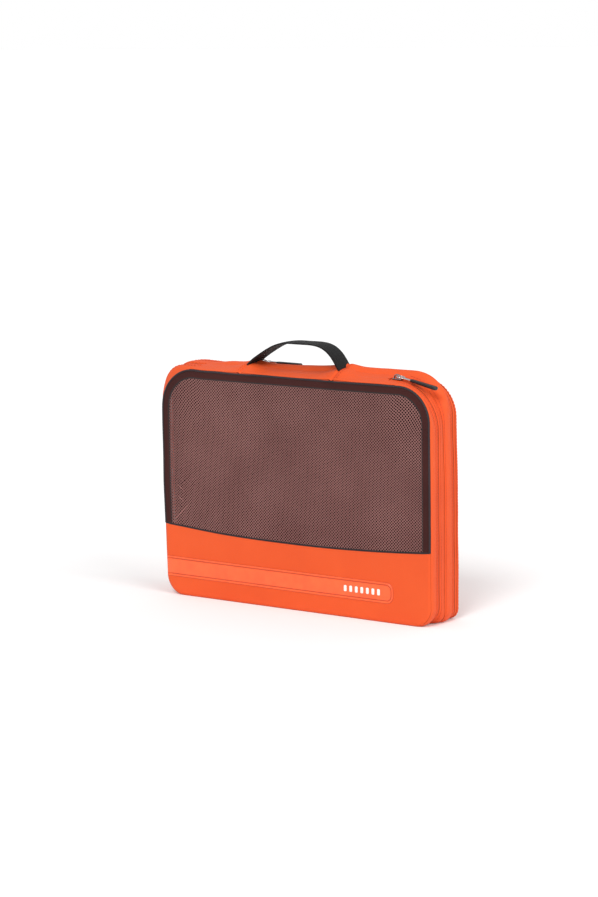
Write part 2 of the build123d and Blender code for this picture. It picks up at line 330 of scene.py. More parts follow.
    def point(self, distance: float) -> Vector:
        """Point of the plain outline at a distance round it; the inverse of around.

        Args:
            distance: Distance round the outline.

        Returns:
            The point, at no depth.
        """
        left = distance % self.perimeter
        for start, turn, length, radius in self.legs:
            if left <= length:
                break
            left -= length
        if radius:
            turn += left / radius
            return start + Vector((math.cos(turn), 0.0, math.sin(turn))) * radius
        return start + Vector((math.cos(turn), 0.0, math.sin(turn))) * left

    def top_drop(self, y: float) -> float:
        """How far the top lies under its crown at a depth.

        Args:
            y: Depth.

        Returns:
            The drop.
        """
        stations = (
            (self.front_seam, 10.0),
            (self.front_tape, 8.1),
            (self.front_slit - 3.0, 7.3),
            (self.front_slit + 3.0, 6.8),
            (self.front_sewn, 5.2),
            (self.crown, 0.0),
            (self.rear_sewn, 4.4),
            (self.rear_slit, 6.6),
            (self.rear_tape, 7.3),
            (self.rear_seam, 9.4),
        )
        if y <= stations[0][0]:
            return stations[0][1]
        for (y0, drop0), (y1, drop1) in zip(stations, stations[1:]):
            if y > y1:
                continue
            share = (y - y0) / (y1 - y0)
            if y1 == self.crown:
                share = math.sin(share * math.pi / 2.0)
            elif y0 == self.crown:
                share = 1.0 - math.cos(share * math.pi / 2.0)
            return drop0 + (drop1 - drop0) * share
        return stations[-1][1]

    def handle_pull(self, x: float, y: float) -> float:
        """How far the handle pulls the top up at its ends and leaves it slack between them.

        Args:
            x: Place across.
            y: Depth.

        Returns:
            The rise, below 0 where the top is slack.
        """
        near = sum(hump(x - seam, 15.0) for seam in (self.handle_left, self.handle_right))
        middle = (self.handle_left + self.handle_right) / 2.0
        span = (self.handle_right - self.handle_left) / 2.0
        slack = smooth(1.15 - abs(x - middle) / span) * hump(y - 2.0, 22.0)
        pull = self.soft.crown_pull * hump(y - 2.0, 18.0) + self.soft.front_pull * hump(y + 10.0, 12.0)
        return near * pull - self.soft.handle_slack * slack

    def swell(self, spot: Vector) -> float:
        """How far the cloth stands out at a place, with a groove along each seam and a dip into each slit.

        Args:
            spot: The plain place.

        Returns:
            The distance outwards.
        """
        y, soft = spot.y, self.soft
        bow = math.sin(math.pi * clamp((y - self.front_seam) / (self.rear_seam - self.front_seam), 0.0, 1.0))
        edge = max(hump(y - self.front_seam, 0.8), hump(y - self.rear_seam, 0.8))
        whole = soft.whole_swell * max(bow, 0.0) ** 0.5 - soft.seam_groove * edge
        parted = -soft.seam_groove
        for start, end, rise in zip(self.seams, self.seams[1:], soft.swells):
            if start <= y <= end:
                arch = max(math.sin(math.pi * (y - start) / (end - start)), 0.0) ** 0.8
                parted = rise * arch - soft.seam_groove * max(hump(y - start, 0.75), hump(y - end, 0.75))
        parted -= soft.slit_groove * max(hump(y - self.front_slit, 0.9), hump(y - self.rear_slit, 0.9))
        share = self.unparted(spot)
        return parted + (whole - parted) * share

    def unparted(self, spot: Vector) -> float:
        """How far a place belongs to the stretch of the top that no zip parts, from 0 to 1."""
        left, right = self.front_fold if spot.y < self.crown else self.rear_fold
        return self.crest(spot.z) * smooth((spot.x - left) / 8.0) * smooth((right - spot.x) / 8.0)

    def crest(self, z: float) -> float:
        """How far a height belongs to the top, from 0 to 1."""
        return smooth((z - self.height + 30.0) / 26.0)

    def ripples(self, spot: Vector) -> float:
        """Shallow waves of sewn cloth at a place.

        Args:
            spot: The plain place.

        Returns:
            The distance outwards.
        """
        wide = noise.noise(Vector((spot.x / 46.0, spot.y / 26.0, spot.z / 46.0)))
        fine = noise.noise(Vector((spot.x / 15.0, spot.y / 9.0 + 7.0, spot.z / 15.0)))
        return self.soft.ripple * (wide + 0.35 * fine)

    def sink(self, z: float, y: float) -> float:
        """How far a height comes down at a depth because the top slopes."""
        return smooth((z - 100.0) / 100.0) * self.top_drop(y)

    def soft_radius(self, spot: Vector) -> float:
        """Corner radius of the soft case at a place: the body is squarer than the front seam.

        Args:
            spot: The plain place.

        Returns:
            The radius.
        """
        behind = spot.y - self.front_seam
        if spot.z > self.height / 2.0 and spot.x < 0.0:
            seam, body = self.soft.left_corner
            return seam - (seam - body) * smooth(behind / 9.0)
        if spot.z > self.height / 2.0:
            at_zip = smooth(behind / 8.0) * (1.0 - smooth((spot.y - self.front_sewn) / 4.0))
            return self.soft.right_corner + (self.corner - self.soft.right_corner) * at_zip
        if spot.x < 0.0:
            return self.base_corner
        seam, body = self.soft.base_corner_less
        return self.base_corner - seam - body * smooth((spot.y - self.front_slit) / 8.0)

    def fill(self, spot: Vector, outward: Vector) -> float:
        """How far a soft corner stands out past the plain round one.

        Args:
            spot: The plain place.
            outward: The way outwards there.

        Returns:
            The distance outwards.
        """
        radius, soft = self.radius_at(spot.z), self.soft_radius(spot)
        wide, narrow = sorted((abs(outward.x), abs(outward.z)), reverse=True)
        step = radius - soft
        if narrow < 1e-4 or step < 0.01:
            return 0.0
        if radius * narrow / wide < step:
            return radius / wide - radius
        return step * (wide + narrow) + math.sqrt(soft**2 - step**2 * (1.0 - 2.0 * wide * narrow)) - radius

    def belly(self, spot: Vector, outward: Vector) -> float:
        """How far the left side hangs out, and the right side leans in.

        Args:
            spot: The plain place.
            outward: The way outwards there.

        Returns:
            The distance outwards, below 0 where the side leans in.
        """
        seam, body = self.soft.left_hang
        most = seam + body * smooth((spot.y - self.front_seam) / 4.0)
        tuck = self.soft.right_tuck * max(outward.x, 0.0) * smooth((spot.z - 150.0) / 70.0)
        tuck *= smooth((spot.y - self.front_slit - 4.0) / 8.0)
        return most * max(-outward.x, 0.0) * smooth(spot.z / 140.0) - tuck

    def lean(self, spot: Vector) -> float:
        """How much lower the crown lies towards the left, and nothing at the zips and seams beside it.

        Args:
            spot: The plain place.

        Returns:
            The drop.
        """
        lean = self.soft.left_lean
        most = lean * smooth((30.0 - spot.x) / 120.0) + lean * smooth((-98.0 - spot.x) / 40.0)
        floor = self.top_drop(self.rear_slit if spot.y > self.crown else self.rear_seam)
        above_floor = max(1.0 - self.top_drop(spot.y) / floor, 0.0)
        return most * above_floor * self.crest(spot.z)

    def settle(self, spot: Vector) -> Vector:
        """Soft place of a point drawn on the plain rounded box.

        Args:
            spot: The plain place.

        Returns:
            The settled place.
        """
        _, outward = self.nearest(spot.x, spot.z)
        width = self.soft.cross_dip_width
        dip = sum(hump(spot.x - seam, width) for seam in (self.handle_left, self.handle_right))
        rise = self.crest(spot.z) * (self.handle_pull(spot.x, spot.y) - self.soft.cross_dip * dip)
        rise -= self.sink(spot.z, spot.y) + self.lean(spot)
        out = self.swell(spot) + self.ripples(spot) + self.fill(spot, outward)
        settled = spot + outward * (out + self.belly(spot, outward))
        settled.z = max(settled.z + rise, 0.0)
        return settled

    def settle_sheet(self, spot: Vector, seam: float, proud: float, bulge: float) -> Vector:
        """Soft place of a point of a sheet that is stretched across the case.

        Args:
            spot: Point of the flat sheet.
            seam: Depth of the seam that holds the sheet.
            proud: How far its face stands off that seam, below 0 towards the front.
            bulge: How much further its middle stands off, below 0 towards the front.

        Returns:
            The settled point.
        """
        inside = max(self.inside(spot.x, spot.z), 0.0)
        _, outward = self.nearest(spot.x, spot.z)
        at_seam = Vector((spot.x, seam, spot.z))
        rim = 1.0 - smooth(inside / 15.0)
        wide_rim = 1.0 - smooth(inside / 60.0)
        settled = spot + outward * rim * (self.swell(at_seam) + self.ripples(at_seam))
        settled += outward * wide_rim * (self.fill(at_seam, outward) + self.belly(at_seam, outward))
        turn = clamp(1.0 - inside / 4.0, 0.0, 1.0)
        wave = self.soft.sheet_wave * noise.noise(Vector((spot.x / 70.0, seam, spot.z / 55.0)))
        settled.y = seam + proud * (1.0 - turn * turn) + (spot.y - seam)
        settled.y += bulge * smooth(inside / 80.0) + wave * smooth(inside / 25.0)
        settled.z = max(settled.z - self.sink(spot.z, seam), 0.0)
        return settled


# ------------------------------------------------------------------ mesh work


def every(bm: Mesh) -> list:
    """All of a mesh's corners, edges and faces, as the slicing operator takes them."""
    return bm.verts[:] + bm.edges[:] + bm.faces[:]


def upright_face(middle: Vector, half_x: float, half_z: float) -> Mesh:
    """One upright rectangle that faces the front.

    Args:
        middle: Its middle.
        half_x: Half its width.
        half_z: Half its height.

    Returns:
        A new mesh with that one face.
    """
    bm = bmesh.new()
    bmesh.ops.create_grid(bm, x_segments=1, y_segments=1, size=1.0)
    bmesh.ops.scale(bm, vec=(half_x, half_z, 1.0), verts=bm.verts)
    bmesh.ops.rotate(bm, cent=(0, 0, 0), matrix=Matrix.Rotation(math.pi / 2.0, 3, "X"), verts=bm.verts)
    bmesh.ops.translate(bm, vec=middle, verts=bm.verts)
    return bm


def round_off(bm: Mesh, geom: Sequence, offset: float, segments: int, affect: str) -> None:
    """Round off corners, as VERTICES, or edges, as EDGES.

    Args:
        bm: The mesh.
        geom: Corners or edges.
        offset: How far the rounding reaches.
        segments: Steps of the rounding.
        affect: VERTICES or EDGES.
    """
    bmesh.ops.bevel(
        bm,
        geom=geom,
        offset=offset,
        offset_type="OFFSET",
        segments=segments,
        profile=0.5,
        affect=affect,
        material=-1,
    )


def rim_edges(bm: Mesh) -> list[Edge]:
    """Edges at which two faces of a plate or strap meet at about a right angle."""
    return [e for e in bm.edges if len(e.link_faces) == 2 and e.calc_face_angle(0.0) > 1.2]


def outline_face(form: CaseForm, y: float, inset: float) -> Mesh:
    """One face that fills the case's rounded outline at a depth and faces the front.

    Args:
        form: The case's sizes.
        y: Depth of the face.
        inset: How far inside the outline it ends.

    Returns:
        A new mesh with that one face.
    """
    half = form.height / 2.0
    bm = upright_face(Vector((0.0, y, half)), form.half_width - inset, half - inset)
    for radius, upper in ((form.corner, True), (form.base_corner, False)):
        corners = [v for v in bm.verts if (v.co.z > half) == upper]
        round_off(bm, corners, radius - inset, CORNER_STEPS, "VERTICES")
    return bm


def split_long_edges(bm: Mesh, longest: float) -> None:
    """Divide each edge that is longer than a limit into even steps.

    Args:
        bm: The mesh.
        longest: Longest edge that is left whole.
    """
    for edge in [e for e in bm.edges if e.calc_length() > longest]:
        cuts = int(math.ceil(edge.calc_length() / longest)) - 1
        bmesh.ops.subdivide_edges(bm, edges=[edge], cuts=cuts)


def stations(start: float, end: float) -> list[float]:
    """Depths between two seams, closer together beside each seam.

    Args:
        start: Depth of the first seam.
        end: Depth of the second.

    Returns:
        The depths, both seams included.
    """
    length = end - start
    close = [d for d in CLOSE_ROWS if d < length / 2.0 - 0.2]
    inner = length - 2.0 * close[-1]
    count = max(int(math.ceil(inner / ROW_STEP)), 1)
    between = [close[-1] + inner * i / count for i in range(1, count)]
    return [start + d for d in close + between] + [end - d for d in reversed(close)]


def extrude_rim(bm: Mesh, edges: Sequence, move: Matrix) -> list[Edge]:
    """Extrude a row of edges by one step.

    Args:
        bm: The mesh.
        edges: The row of edges.
        move: The step.

    Returns:
        The new row of edges.
    """
    made = bmesh.ops.extrude_edge_only(bm, edges=edges)["geom"]
    fresh = {v for v in made if isinstance(v, Corner)}
    bmesh.ops.transform(bm, matrix=move, verts=list(fresh))
    return [e for e in made if isinstance(e, Edge) and set(e.verts) <= fresh]


def band_mesh(form: CaseForm, depths: Sequence[float], inset: float) -> Mesh:
    """Band round the case's plain outline, extruded row by row through a list of depths.

    Args:
        form: The case's sizes.
        depths: Depths of the rows.
        inset: How far it lies inside the outline.

    Returns:
        The mesh.
    """
    bm = outline_face(form, depths[0], inset)
    bmesh.ops.delete(bm, geom=bm.faces[:], context="FACES_ONLY")
    split_long_edges(bm, EDGE_STEP)
    edges = bm.edges[:]
    for near, far in zip(depths, depths[1:]):
        edges = extrude_rim(bm, edges, Matrix.Translation((0.0, far - near, 0.0)))
    bmesh.ops.recalc_face_normals(bm, faces=bm.faces[:])
    return bm


def slice_where(bm: Mesh, place: Vector, normal: Vector, where: Test) -> None:
    """Cut the faces that a test picks along a plane, and keep both sides.

    Args:
        bm: The mesh.
        place: A point of the plane.
        normal: The way the plane faces.
        where: Test of a face's middle.
    """
    faces = [f for f in bm.faces if where(f.calc_center_median())]
    edges = {e for f in faces for e in f.edges}
    verts = {v for f in faces for v in f.verts}
    bmesh.ops.bisect_plane(bm, geom=[*faces, *edges, *verts], plane_co=place, plane_no=normal, dist=1e-4)


def drop_faces(bm: Mesh, where: Test) -> None:
    """Delete the faces whose middle a test picks."""
    faces = [f for f in bm.faces if where(f.calc_center_median())]
    bmesh.ops.delete(bm, geom=faces, context="FACES")


def slice_grid(bm: Mesh, cell: float, reach: float, axes: str = "xz") -> None:
    """Cut a flat panel into cells so that it can take a soft shape.

    Args:
        bm: The mesh.
        cell: Size of a cell.
        reach: How far the cuts go from the origin.
        axes: Axes that are cut across.
    """
    for axis in axes:
        normal = Vector((1, 0, 0)) if axis == "x" else Vector((0, 0, 1))
        for step in range(-int(reach / cell), int(reach / cell) + 1):
            place = normal * (step * cell)
            bmesh.ops.bisect_plane(bm, geom=every(bm), plane_co=place, plane_no=normal, dist=1e-4)


def reshape(bm: Mesh, move: Callable[[Vector], Vector]) -> None:
    """Move every corner of a mesh to where a rule puts it."""
    for vert in bm.verts:
        vert.co = move(vert.co)


def thicken(bm: Mesh, thickness: float, lining: Optional[int] = None) -> None:
    """Give a sheet its thickness on the inner side, with its rim closed.

    Args:
        bm: The sheet.
        thickness: Its thickness.
        lining: Which of the piece's materials its inner side and rim take, or None for the same.
    """
    bm.normal_update()
    inner = {vert: vert.co - vert.normal * thickness for vert in bm.verts}
    bmesh.ops.extrude_face_region(bm, geom=bm.faces[:])
    for vert, place in inner.items():
        vert.co = place
    if lining is not None:
        for face in bm.faces:
            if any(vert in inner for vert in face.verts):
                face.material_index = lining


def lay_uv(bm: Mesh, unroll: Callable[[Vector], tuple[float, float]], wrap: float = 0.0) -> None:
    """Write the cloth's own coordinates, in metres, on every face.

    Args:
        bm: The mesh.
        unroll: Gives the two distances on the cloth for a point.
        wrap: Length at which the first distance starts again, or 0.
    """
    layer = bm.loops.layers.uv.get(CLOTH_UV) or bm.loops.layers.uv.new(CLOTH_UV)
    for face in bm.faces:
        spots = [unroll(loop.vert.co) for loop in face.loops]
        furthest = max(u for u, _ in spots)
        for loop, (u, v) in zip(face.loops, spots):
            if wrap and furthest - u > wrap / 2.0:
                u += wrap
            loop[layer].uv = (u / METRE, v / METRE)


class Stamp:
    """Small closed shape that is pressed into a mesh many times."""

    def __init__(self, name: str, make: Callable[[Mesh], None], material: int = 0) -> None:
        """Build the shape once.

        Args:
            name: Name of its mesh.
            make: Draws it in an empty mesh.
            material: Which of the piece's materials it takes.
        """
        bm = bmesh.new()
        make(bm)
        for face in bm.faces:
            face.material_index = material
        self.rest = [co for vert in bm.verts for co in vert.co]
        self.mesh = bpy.data.meshes.new(name)
        bm.to_mesh(self.mesh)
        bm.free()

    def press(self, bm: Mesh, place: Matrix) -> None:
        """Add one copy of the shape at a place.

        Args:
            bm: The mesh.
            place: Where the copy goes.
        """
        self.mesh.transform(place)
        bm.from_mesh(self.mesh)
        self.mesh.vertices.foreach_set("co", self.rest)


def rod(bm: Mesh, length: float, radius: float, sides: int) -> None:
    """Short rod along X with drawn-in ends.

    Args:
        bm: The mesh.
        length: Whole length.
        radius: Radius of its middle.
        sides: Corners of its section.
    """
    turn = Matrix.Rotation(math.pi / 2.0, 4, "Y")
    bmesh.ops.create_cone(
        bm, cap_ends=True, segments=sides, radius1=radius, radius2=radius, depth=length * 0.7, matrix=turn
    )
    for end in [f for f in bm.faces if len(f.verts) == sides and abs(f.normal.x) > 0.9]:
        made = bmesh.ops.extrude_discrete_faces(bm, faces=[end])["faces"]
        verts = list(made[0].verts)
        side = math.copysign(1.0, made[0].calc_center_median().x)
        bmesh.ops.translate(bm, vec=(side * length * 0.15, 0.0, 0.0), verts=verts)
        middle = made[0].calc_center_median()
        bmesh.ops.scale(bm, vec=(1.0, 0.5, 0.5), space=Matrix.Translation(-middle), verts=verts)


def place_on(spot: Vector, along: Vector, outward: Vector) -> Matrix:
    """Matrix that puts X along a seam and Z out of the cloth at a spot.

    Args:
        spot: The spot.
        along: The way along the seam.
        outward: The way out of the cloth.

    Returns:
        The matrix.
    """
    side = outward.cross(along).normalized()
    out = along.cross(side).normalized()
    turn = Matrix((along.normalized(), side, out)).transposed().to_4x4()
    return Matrix.Translation(spot) @ turn


@dataclass
class Workpiece:
    """A mesh on its way to becoming a finished, placed piece."""

    name: str
    bm: Mesh
    materials: Sequence[bpy.types.Material]
    slot: str
    replaces: Sequence[str] = ()
    crease: float = 40.0

    def finish(self, body: Optional[str]) -> bpy.types.Object:
        """Make the object, in metres, and let it ride on a body.

        Args:
            body: The CAD body it rides on, or None for a piece that rides on none.

        Returns:
            The finished object.
        """
        bmesh.ops.recalc_face_normals(self.bm, faces=self.bm.faces[:])
        bmesh.ops.scale(self.bm, vec=(1.0 / METRE,) * 3, verts=self.bm.verts)
        title = f"{self.name}_piece"
        mesh = bpy.data.meshes.new(title)
        self.bm.to_mesh(mesh)
        self.bm.free()
        mesh.shade_smooth()
        mesh.set_sharp_from_angle(angle=math.radians(self.crease))
        used = sorted({polygon.material_index for polygon in mesh.polygons})
        for polygon in mesh.polygons:
            polygon.material_index = used.index(polygon.material_index)
        for index in used:
            mesh.materials.append(self.materials[index])
        piece = bpy.data.objects.new(title, mesh)
        bpy.context.scene.collection.objects.link(piece)
        if body:
            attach(piece, body)
        if self.replaces:
            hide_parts(*self.replaces)
        LOG.info("%s: %d faces", self.name, len(mesh.polygons))
        return piece


def sweep(
    bm: Mesh,
    path: Sequence[Vector],
    width: float,
    height: float,
    outward: Callable[[Vector], Vector],
    sides: int,
) -> None:
    """Draw an oval section along a path.

    Args:
        bm: Mesh that takes the new shape.
        path: Points of its centreline.
        width: Size of the section across the way outwards.
        height: Size of the section along the way outwards.
        outward: Gives the way outwards at a point.
        sides: Corners of the section.
    """
    count = len(path)

    def frame_at(index: int) -> Matrix:
        """Where the section stands at a point of the path."""
        before, after = path[max(index - 1, 0)], path[min(index + 1, count - 1)]
        return place_on(path[index], (after - before).normalized(), outward(path[index]))

    upright = Matrix.Rotation(math.pi / 2.0, 4, "Y") @ Matrix.Rotation(math.pi / sides, 4, "Z")
    shape = Matrix.Diagonal((1.0, width / 2.0, height / 2.0, 1.0))
    last = frame_at(0)
    ring = bmesh.ops.create_circle(bm, segments=sides, radius=1.0, matrix=last @ shape @ upright)["verts"]
    first_edges = list({e for v in ring for e in v.link_edges})
    edges = first_edges
    for index in range(1, count):
        following = frame_at(index)
        edges = extrude_rim(bm, edges, following @ last.inverted())
        last = following
    bmesh.ops.contextual_create(bm, geom=first_edges)
    bmesh.ops.contextual_create(bm, geom=edges)


def cut_along(
    bm: Mesh, line: Callable[[float], float], start: float, end: float, step: float, axis: str
) -> None:
    """Cut a flat panel along a curve, chord by chord.

    Args:
        bm: The flat panel.
        line: Gives the curve's other coordinate at a place along the axis.
        start: Where the curve starts along the axis.
        end: Where it ends.
        step: Length of a chord along the axis.
        axis: "x" for a curve that gives heights, "z" for one that gives places across.
    """
    along = Vector((1, 0, 0)) if axis == "x" else Vector((0, 0, 1))
    other = Vector((0, 0, 1)) if axis == "x" else Vector((1, 0, 0))
    count = int(math.ceil((end - start) / step))
    marks = [start + (end - start) * i / count for i in range(count + 1)]
    for mark in marks:
        slice_where(bm, along * mark, along, lambda c, m=mark: abs(c.dot(along) - m) < 2.0 * step)
    for near, far in zip(marks, marks[1:]):
        place = along * near + other * line(near)
        chord = along * far + other * line(far) - place
        normal = chord.cross(Vector((0, 1, 0)))
        slice_where(bm, place, normal, lambda c, n=near, f=far: n < c.dot(along) < f)


# ------------------------------------------------------------------ finishes


class Tree:
    """Short way to lay out a node tree."""

    def __init__(self, tree: bpy.types.NodeTree) -> None:
        """Start on a tree."""
        self.tree = tree

    def add(self, kind: str, inputs: Optional[dict] = None, **settings: object) -> bpy.types.Node:
        """Add a node, set its options, and set or link its inputs.

        Args:
            kind: Blender's name of the node type.
            inputs: Value or output socket for each named or numbered input.
            **settings: Options of the node.

        Returns:
            The node.
        """
        node = self.tree.nodes.new(kind)
        for key, value in settings.items():
            setattr(node, key, value)
        self.fill(node, inputs or {})
        return node

    def fill(self, node: bpy.types.Node, inputs: dict) -> None:
        """Set each input of a node to its value, or link it to its output socket.

        Args:
            node: The node.
            inputs: Value or output socket for each named or numbered input.
        """
        for key, value in inputs.items():
            if isinstance(value, bpy.types.NodeSocket):
                self.tree.links.new(value, node.inputs[key])
            else:
                node.inputs[key].default_value = value

    def math(self, operation: str, *values: object) -> bpy.types.NodeSocket:
        """Result of one sum."""
        return self.add("ShaderNodeMath", dict(enumerate(values)), operation=operation).outputs[0]

    def mix(self, share: object, first: object, second: object) -> bpy.types.NodeSocket:
        """Colour between two colours."""
        node = self.add("ShaderNodeMix", {0: share, 6: first, 7: second}, data_type="RGBA")
        return node.outputs[2]

    def blend_value(self, share: object, first: object, second: object) -> bpy.types.NodeSocket:
        """Number between two numbers."""
        node = self.add("ShaderNodeMix", {0: share, 2: first, 3: second}, data_type="FLOAT")
        return node.outputs[0]

    def mottle(self, groups: "Groups", broad: float, fine: float = 900.0) -> bpy.types.Node:
        """Add the uneven tone that every finish has, fixed to the piece.

        Args:
            groups: The shared node groups.
            broad: Scale of the cloudiness.
            fine: Scale of the specks.

        Returns:
            The group's node.
        """
        where = self.add("ShaderNodeTexCoord").outputs["Object"]
        node = self.add("ShaderNodeGroup", node_tree=groups.mottle)
        self.fill(node, {"Vector": where, "Broad": broad, "Fine": fine})
        return node


def new_material(name: str) -> tuple[bpy.types.Material, Tree, bpy.types.Node]:
    """New material, its layout helper and its shader.

    Args:
        name: The material's name.

    Returns:
        The three.
    """
    material = bpy.data.materials.new(name)
    material.use_nodes = True
    return material, Tree(material.node_tree), material.node_tree.nodes["Principled BSDF"]


def new_group(
    name: str, inputs: dict, outputs: dict
) -> tuple[bpy.types.NodeTree, Tree, dict, bpy.types.Node]:
    """Start a shader node group.

    Args:
        name: The group's name.
        inputs: Socket type and starting value for each input's name.
        outputs: Socket type for each output's name.

    Returns:
        The group, its layout helper, its input sockets by name, and its output node.
    """
    group = bpy.data.node_groups.new(name, "ShaderNodeTree")
    for key, (kind, start) in inputs.items():
        socket = group.interface.new_socket(name=key, in_out="INPUT", socket_type=kind)
        if start is not None:
            socket.default_value = start
    for key, kind in outputs.items():
        group.interface.new_socket(name=key, in_out="OUTPUT", socket_type=kind)
    tree = Tree(group)
    start_node = tree.add("NodeGroupInput")
    end_node = tree.add("NodeGroupOutput")
    return group, tree, {s.name: s for s in start_node.outputs if s.name}, end_node


VECTOR_IN = ("NodeSocketVector", None)


def weave_group() -> bpy.types.NodeTree:
    """Plain weave: threads that pass over and under each other.

    Returns:
        The group.
    """
    group, tree, given, out = new_group(
        "Weave", {"Vector": VECTOR_IN, "Threads": ("NodeSocketFloat", 2000.0)}, {"Height": "NodeSocketFloat"}
    )
    inputs = {0: given["Vector"], "Scale": given["Threads"]}
    count = tree.add("ShaderNodeVectorMath", inputs, operation="SCALE").outputs[0]
    parts = tree.add("ShaderNodeSeparateXYZ", {0: count})
    turns = [tree.math("MULTIPLY", part, math.pi) for part in parts.outputs[:2]]
    waves = [tree.math("ABSOLUTE", tree.math("SINE", turn)) for turn in turns]
    under = [tree.math("MULTIPLY_ADD", wave, 0.45, 0.55) for wave in reversed(waves)]
    over = [tree.math("MULTIPLY", wave, other) for wave, other in zip(waves, under)]
    flat = tree.add("ShaderNodeCombineXYZ", {0: parts.outputs[0], 1: parts.outputs[1], 2: 0.5}).outputs[0]
    checks = tree.add("ShaderNodeTexChecker", {"Vector": flat, "Scale": 1.0}).outputs["Fac"]
    tree.tree.links.new(tree.blend_value(checks, over[0], over[1]), out.inputs["Height"])
    return group


def twill_group() -> bpy.types.NodeTree:
    """Herringbone ribs of woven tape: slanting threads that turn back at every column.

    Returns:
        The group.
    """
    group, tree, given, out = new_group(
        "Herringbone",
        {"Vector": VECTOR_IN, "Ribs": ("NodeSocketFloat", 900.0), "Columns": ("NodeSocketFloat", 250.0)},
        {"Height": "NodeSocketFloat"},
    )
    parts = tree.add("ShaderNodeSeparateXYZ", {0: given["Vector"]})
    along = tree.math("MULTIPLY", parts.outputs[0], given["Ribs"])
    across = tree.math("MULTIPLY", parts.outputs[1], given["Columns"])
    zigzag = tree.math("MULTIPLY", tree.math("PINGPONG", across, 1.0), 2.2)
    slant = tree.math("MULTIPLY", tree.math("ADD", along, zigzag), math.pi)
    rib = tree.math("ABSOLUTE", tree.math("SINE", slant))
    valley = tree.math("ABSOLUTE", tree.math("SINE", tree.math("MULTIPLY", across, math.pi)))
    height = tree.math("MULTIPLY", rib, tree.math("POWER", valley, 0.25))
    tree.tree.links.new(height, out.inputs["Height"])
    return group


def mottle_group() -> bpy.types.NodeTree:
    """Uneven tone: broad cloudiness with fine specks in it.

    Returns:
        The group.
    """
    group, tree, given, out = new_group(
        "Mottle",
        {"Vector": VECTOR_IN, "Broad": ("NodeSocketFloat", 18.0), "Fine": ("NodeSocketFloat", 900.0)},
        {"Tone": "NodeSocketFloat", "Speck": "NodeSocketFloat"},
    )
    where = given["Vector"]
    broad = tree.add("ShaderNodeTexNoise", {"Vector": where, "Scale": given["Broad"], "Detail": 3.0})
    fine = tree.add("ShaderNodeTexNoise", {"Vector": where, "Scale": given["Fine"], "Detail": 2.0})
    tone = tree.add("ShaderNodeMapRange", {0: broad.outputs["Fac"], 1: 0.3, 2: 0.7, 3: 0.0, 4: 1.0})
    tree.tree.links.new(tone.outputs[0], out.inputs["Tone"])
    tree.tree.links.new(fine.outputs["Fac"], out.inputs["Speck"])
    return group


class Groups:
    """The shader node groups that the finishes share, each built once."""

    def __init__(self) -> None:
        """Build every group."""
        self.weave = weave_group()
        self.twill = twill_group()
        self.mottle = mottle_group()


class Pattern(Enum):
    """How a cloth is made."""

    WEAVE = "weave"
    HERRINGBONE = "herringbone"
    SMOOTH = "smooth"


@dataclass(frozen=True)
class ClothFinish:
    """Woven or coated cloth, thread or tape."""

    name: str
    light: Colour
    dark: Colour
    pattern: Pattern = Pattern.WEAVE
    threads: float = 2100.0
    columns: float = 250.0
    depth: float = 0.00008
    gap_shade: float = 0.16
    roughness: float = 0.62
    sheen: float = 0.02
    specular: float = 0.3
    broad: float = 16.0

    def make(self, groups: Groups) -> bpy.types.Material:
        """Build the material.

        Args:
            groups: The shared node groups.

        Returns:
            The material.
        """
        material, tree, shader = new_material(self.name)
        mottle = tree.mottle(groups, self.broad)
        colour = tree.mix(mottle.outputs["Tone"], (*self.dark, 1.0), (*self.light, 1.0))
        if self.pattern is Pattern.SMOOTH:
            height = mottle.outputs["Speck"]
        else:
            kind = groups.weave if self.pattern is Pattern.WEAVE else groups.twill
            cloth = tree.add("ShaderNodeUVMap", uv_map=CLOTH_UV).outputs[0]
            thread = tree.add("ShaderNodeGroup", node_tree=kind)
            tree.fill(thread, {"Vector": cloth, 1: self.threads})
            if self.pattern is Pattern.HERRINGBONE:
                tree.fill(thread, {"Columns": self.columns})
            height = thread.outputs["Height"]
        # Painted shade: where the height is low, in the gaps between threads and the valleys of the ribs, the
        # colour moves towards a darker copy of the dark colour. On smooth finishes the height is the fine
        # specks, so there it is a random darkening.
        shade = tuple(channel * (1.0 - 3.0 * self.gap_shade) for channel in self.dark)
        gaps = tree.math("MULTIPLY", tree.math("SUBTRACT", 1.0, height), self.gap_shade * 2.0)
        colour = tree.mix(gaps, colour, (*shade, 1.0))
        rough = tree.blend_value(mottle.outputs["Speck"], self.roughness - 0.07, self.roughness + 0.07)
        bump = tree.add("ShaderNodeBump", {"Strength": 1.0, "Distance": self.depth, "Height": height})
        tree.fill(shader, {"Base Color": colour, "Roughness": rough, "Normal": bump.outputs[0]})
        tree.fill(shader, {"Sheen Weight": self.sheen, "Sheen Roughness": 0.4})
        tree.fill(shader, {"Specular IOR Level": self.specular})
        return material


@dataclass(frozen=True)
class HardFinish:
    """Metal, rubber, film or ink, with fine grain and worn patches."""

    name: str
    light: Colour
    dark: Colour
    metallic: float = 0.0
    roughness: float = 0.3
    spread: float = 0.08
    grain: float = 1500.0
    depth: float = 0.00002
    coat: float = 0.0
    broad: float = 120.0

    def make(self, groups: Groups) -> bpy.types.Material:
        """Build the material.

        Args:
            groups: The shared node groups.

        Returns:
            The material.
        """
        material, tree, shader = new_material(self.name)
        mottle = tree.mottle(groups, self.broad, self.grain)
        tone, speck = mottle.outputs["Tone"], mottle.outputs["Speck"]
        colour = tree.mix(tone, (*self.dark, 1.0), (*self.light, 1.0))
        rough = tree.blend_value(speck, self.roughness - self.spread, self.roughness + self.spread)
        bump = tree.add("ShaderNodeBump", {"Strength": 1.0, "Distance": self.depth, "Height": speck})
        tree.fill(shader, {"Base Color": colour, "Roughness": rough, "Normal": bump.outputs[0]})
        tree.fill(shader, {"Metallic": self.metallic, "Coat Weight": self.coat, "Coat Roughness": 0.15})
        return material


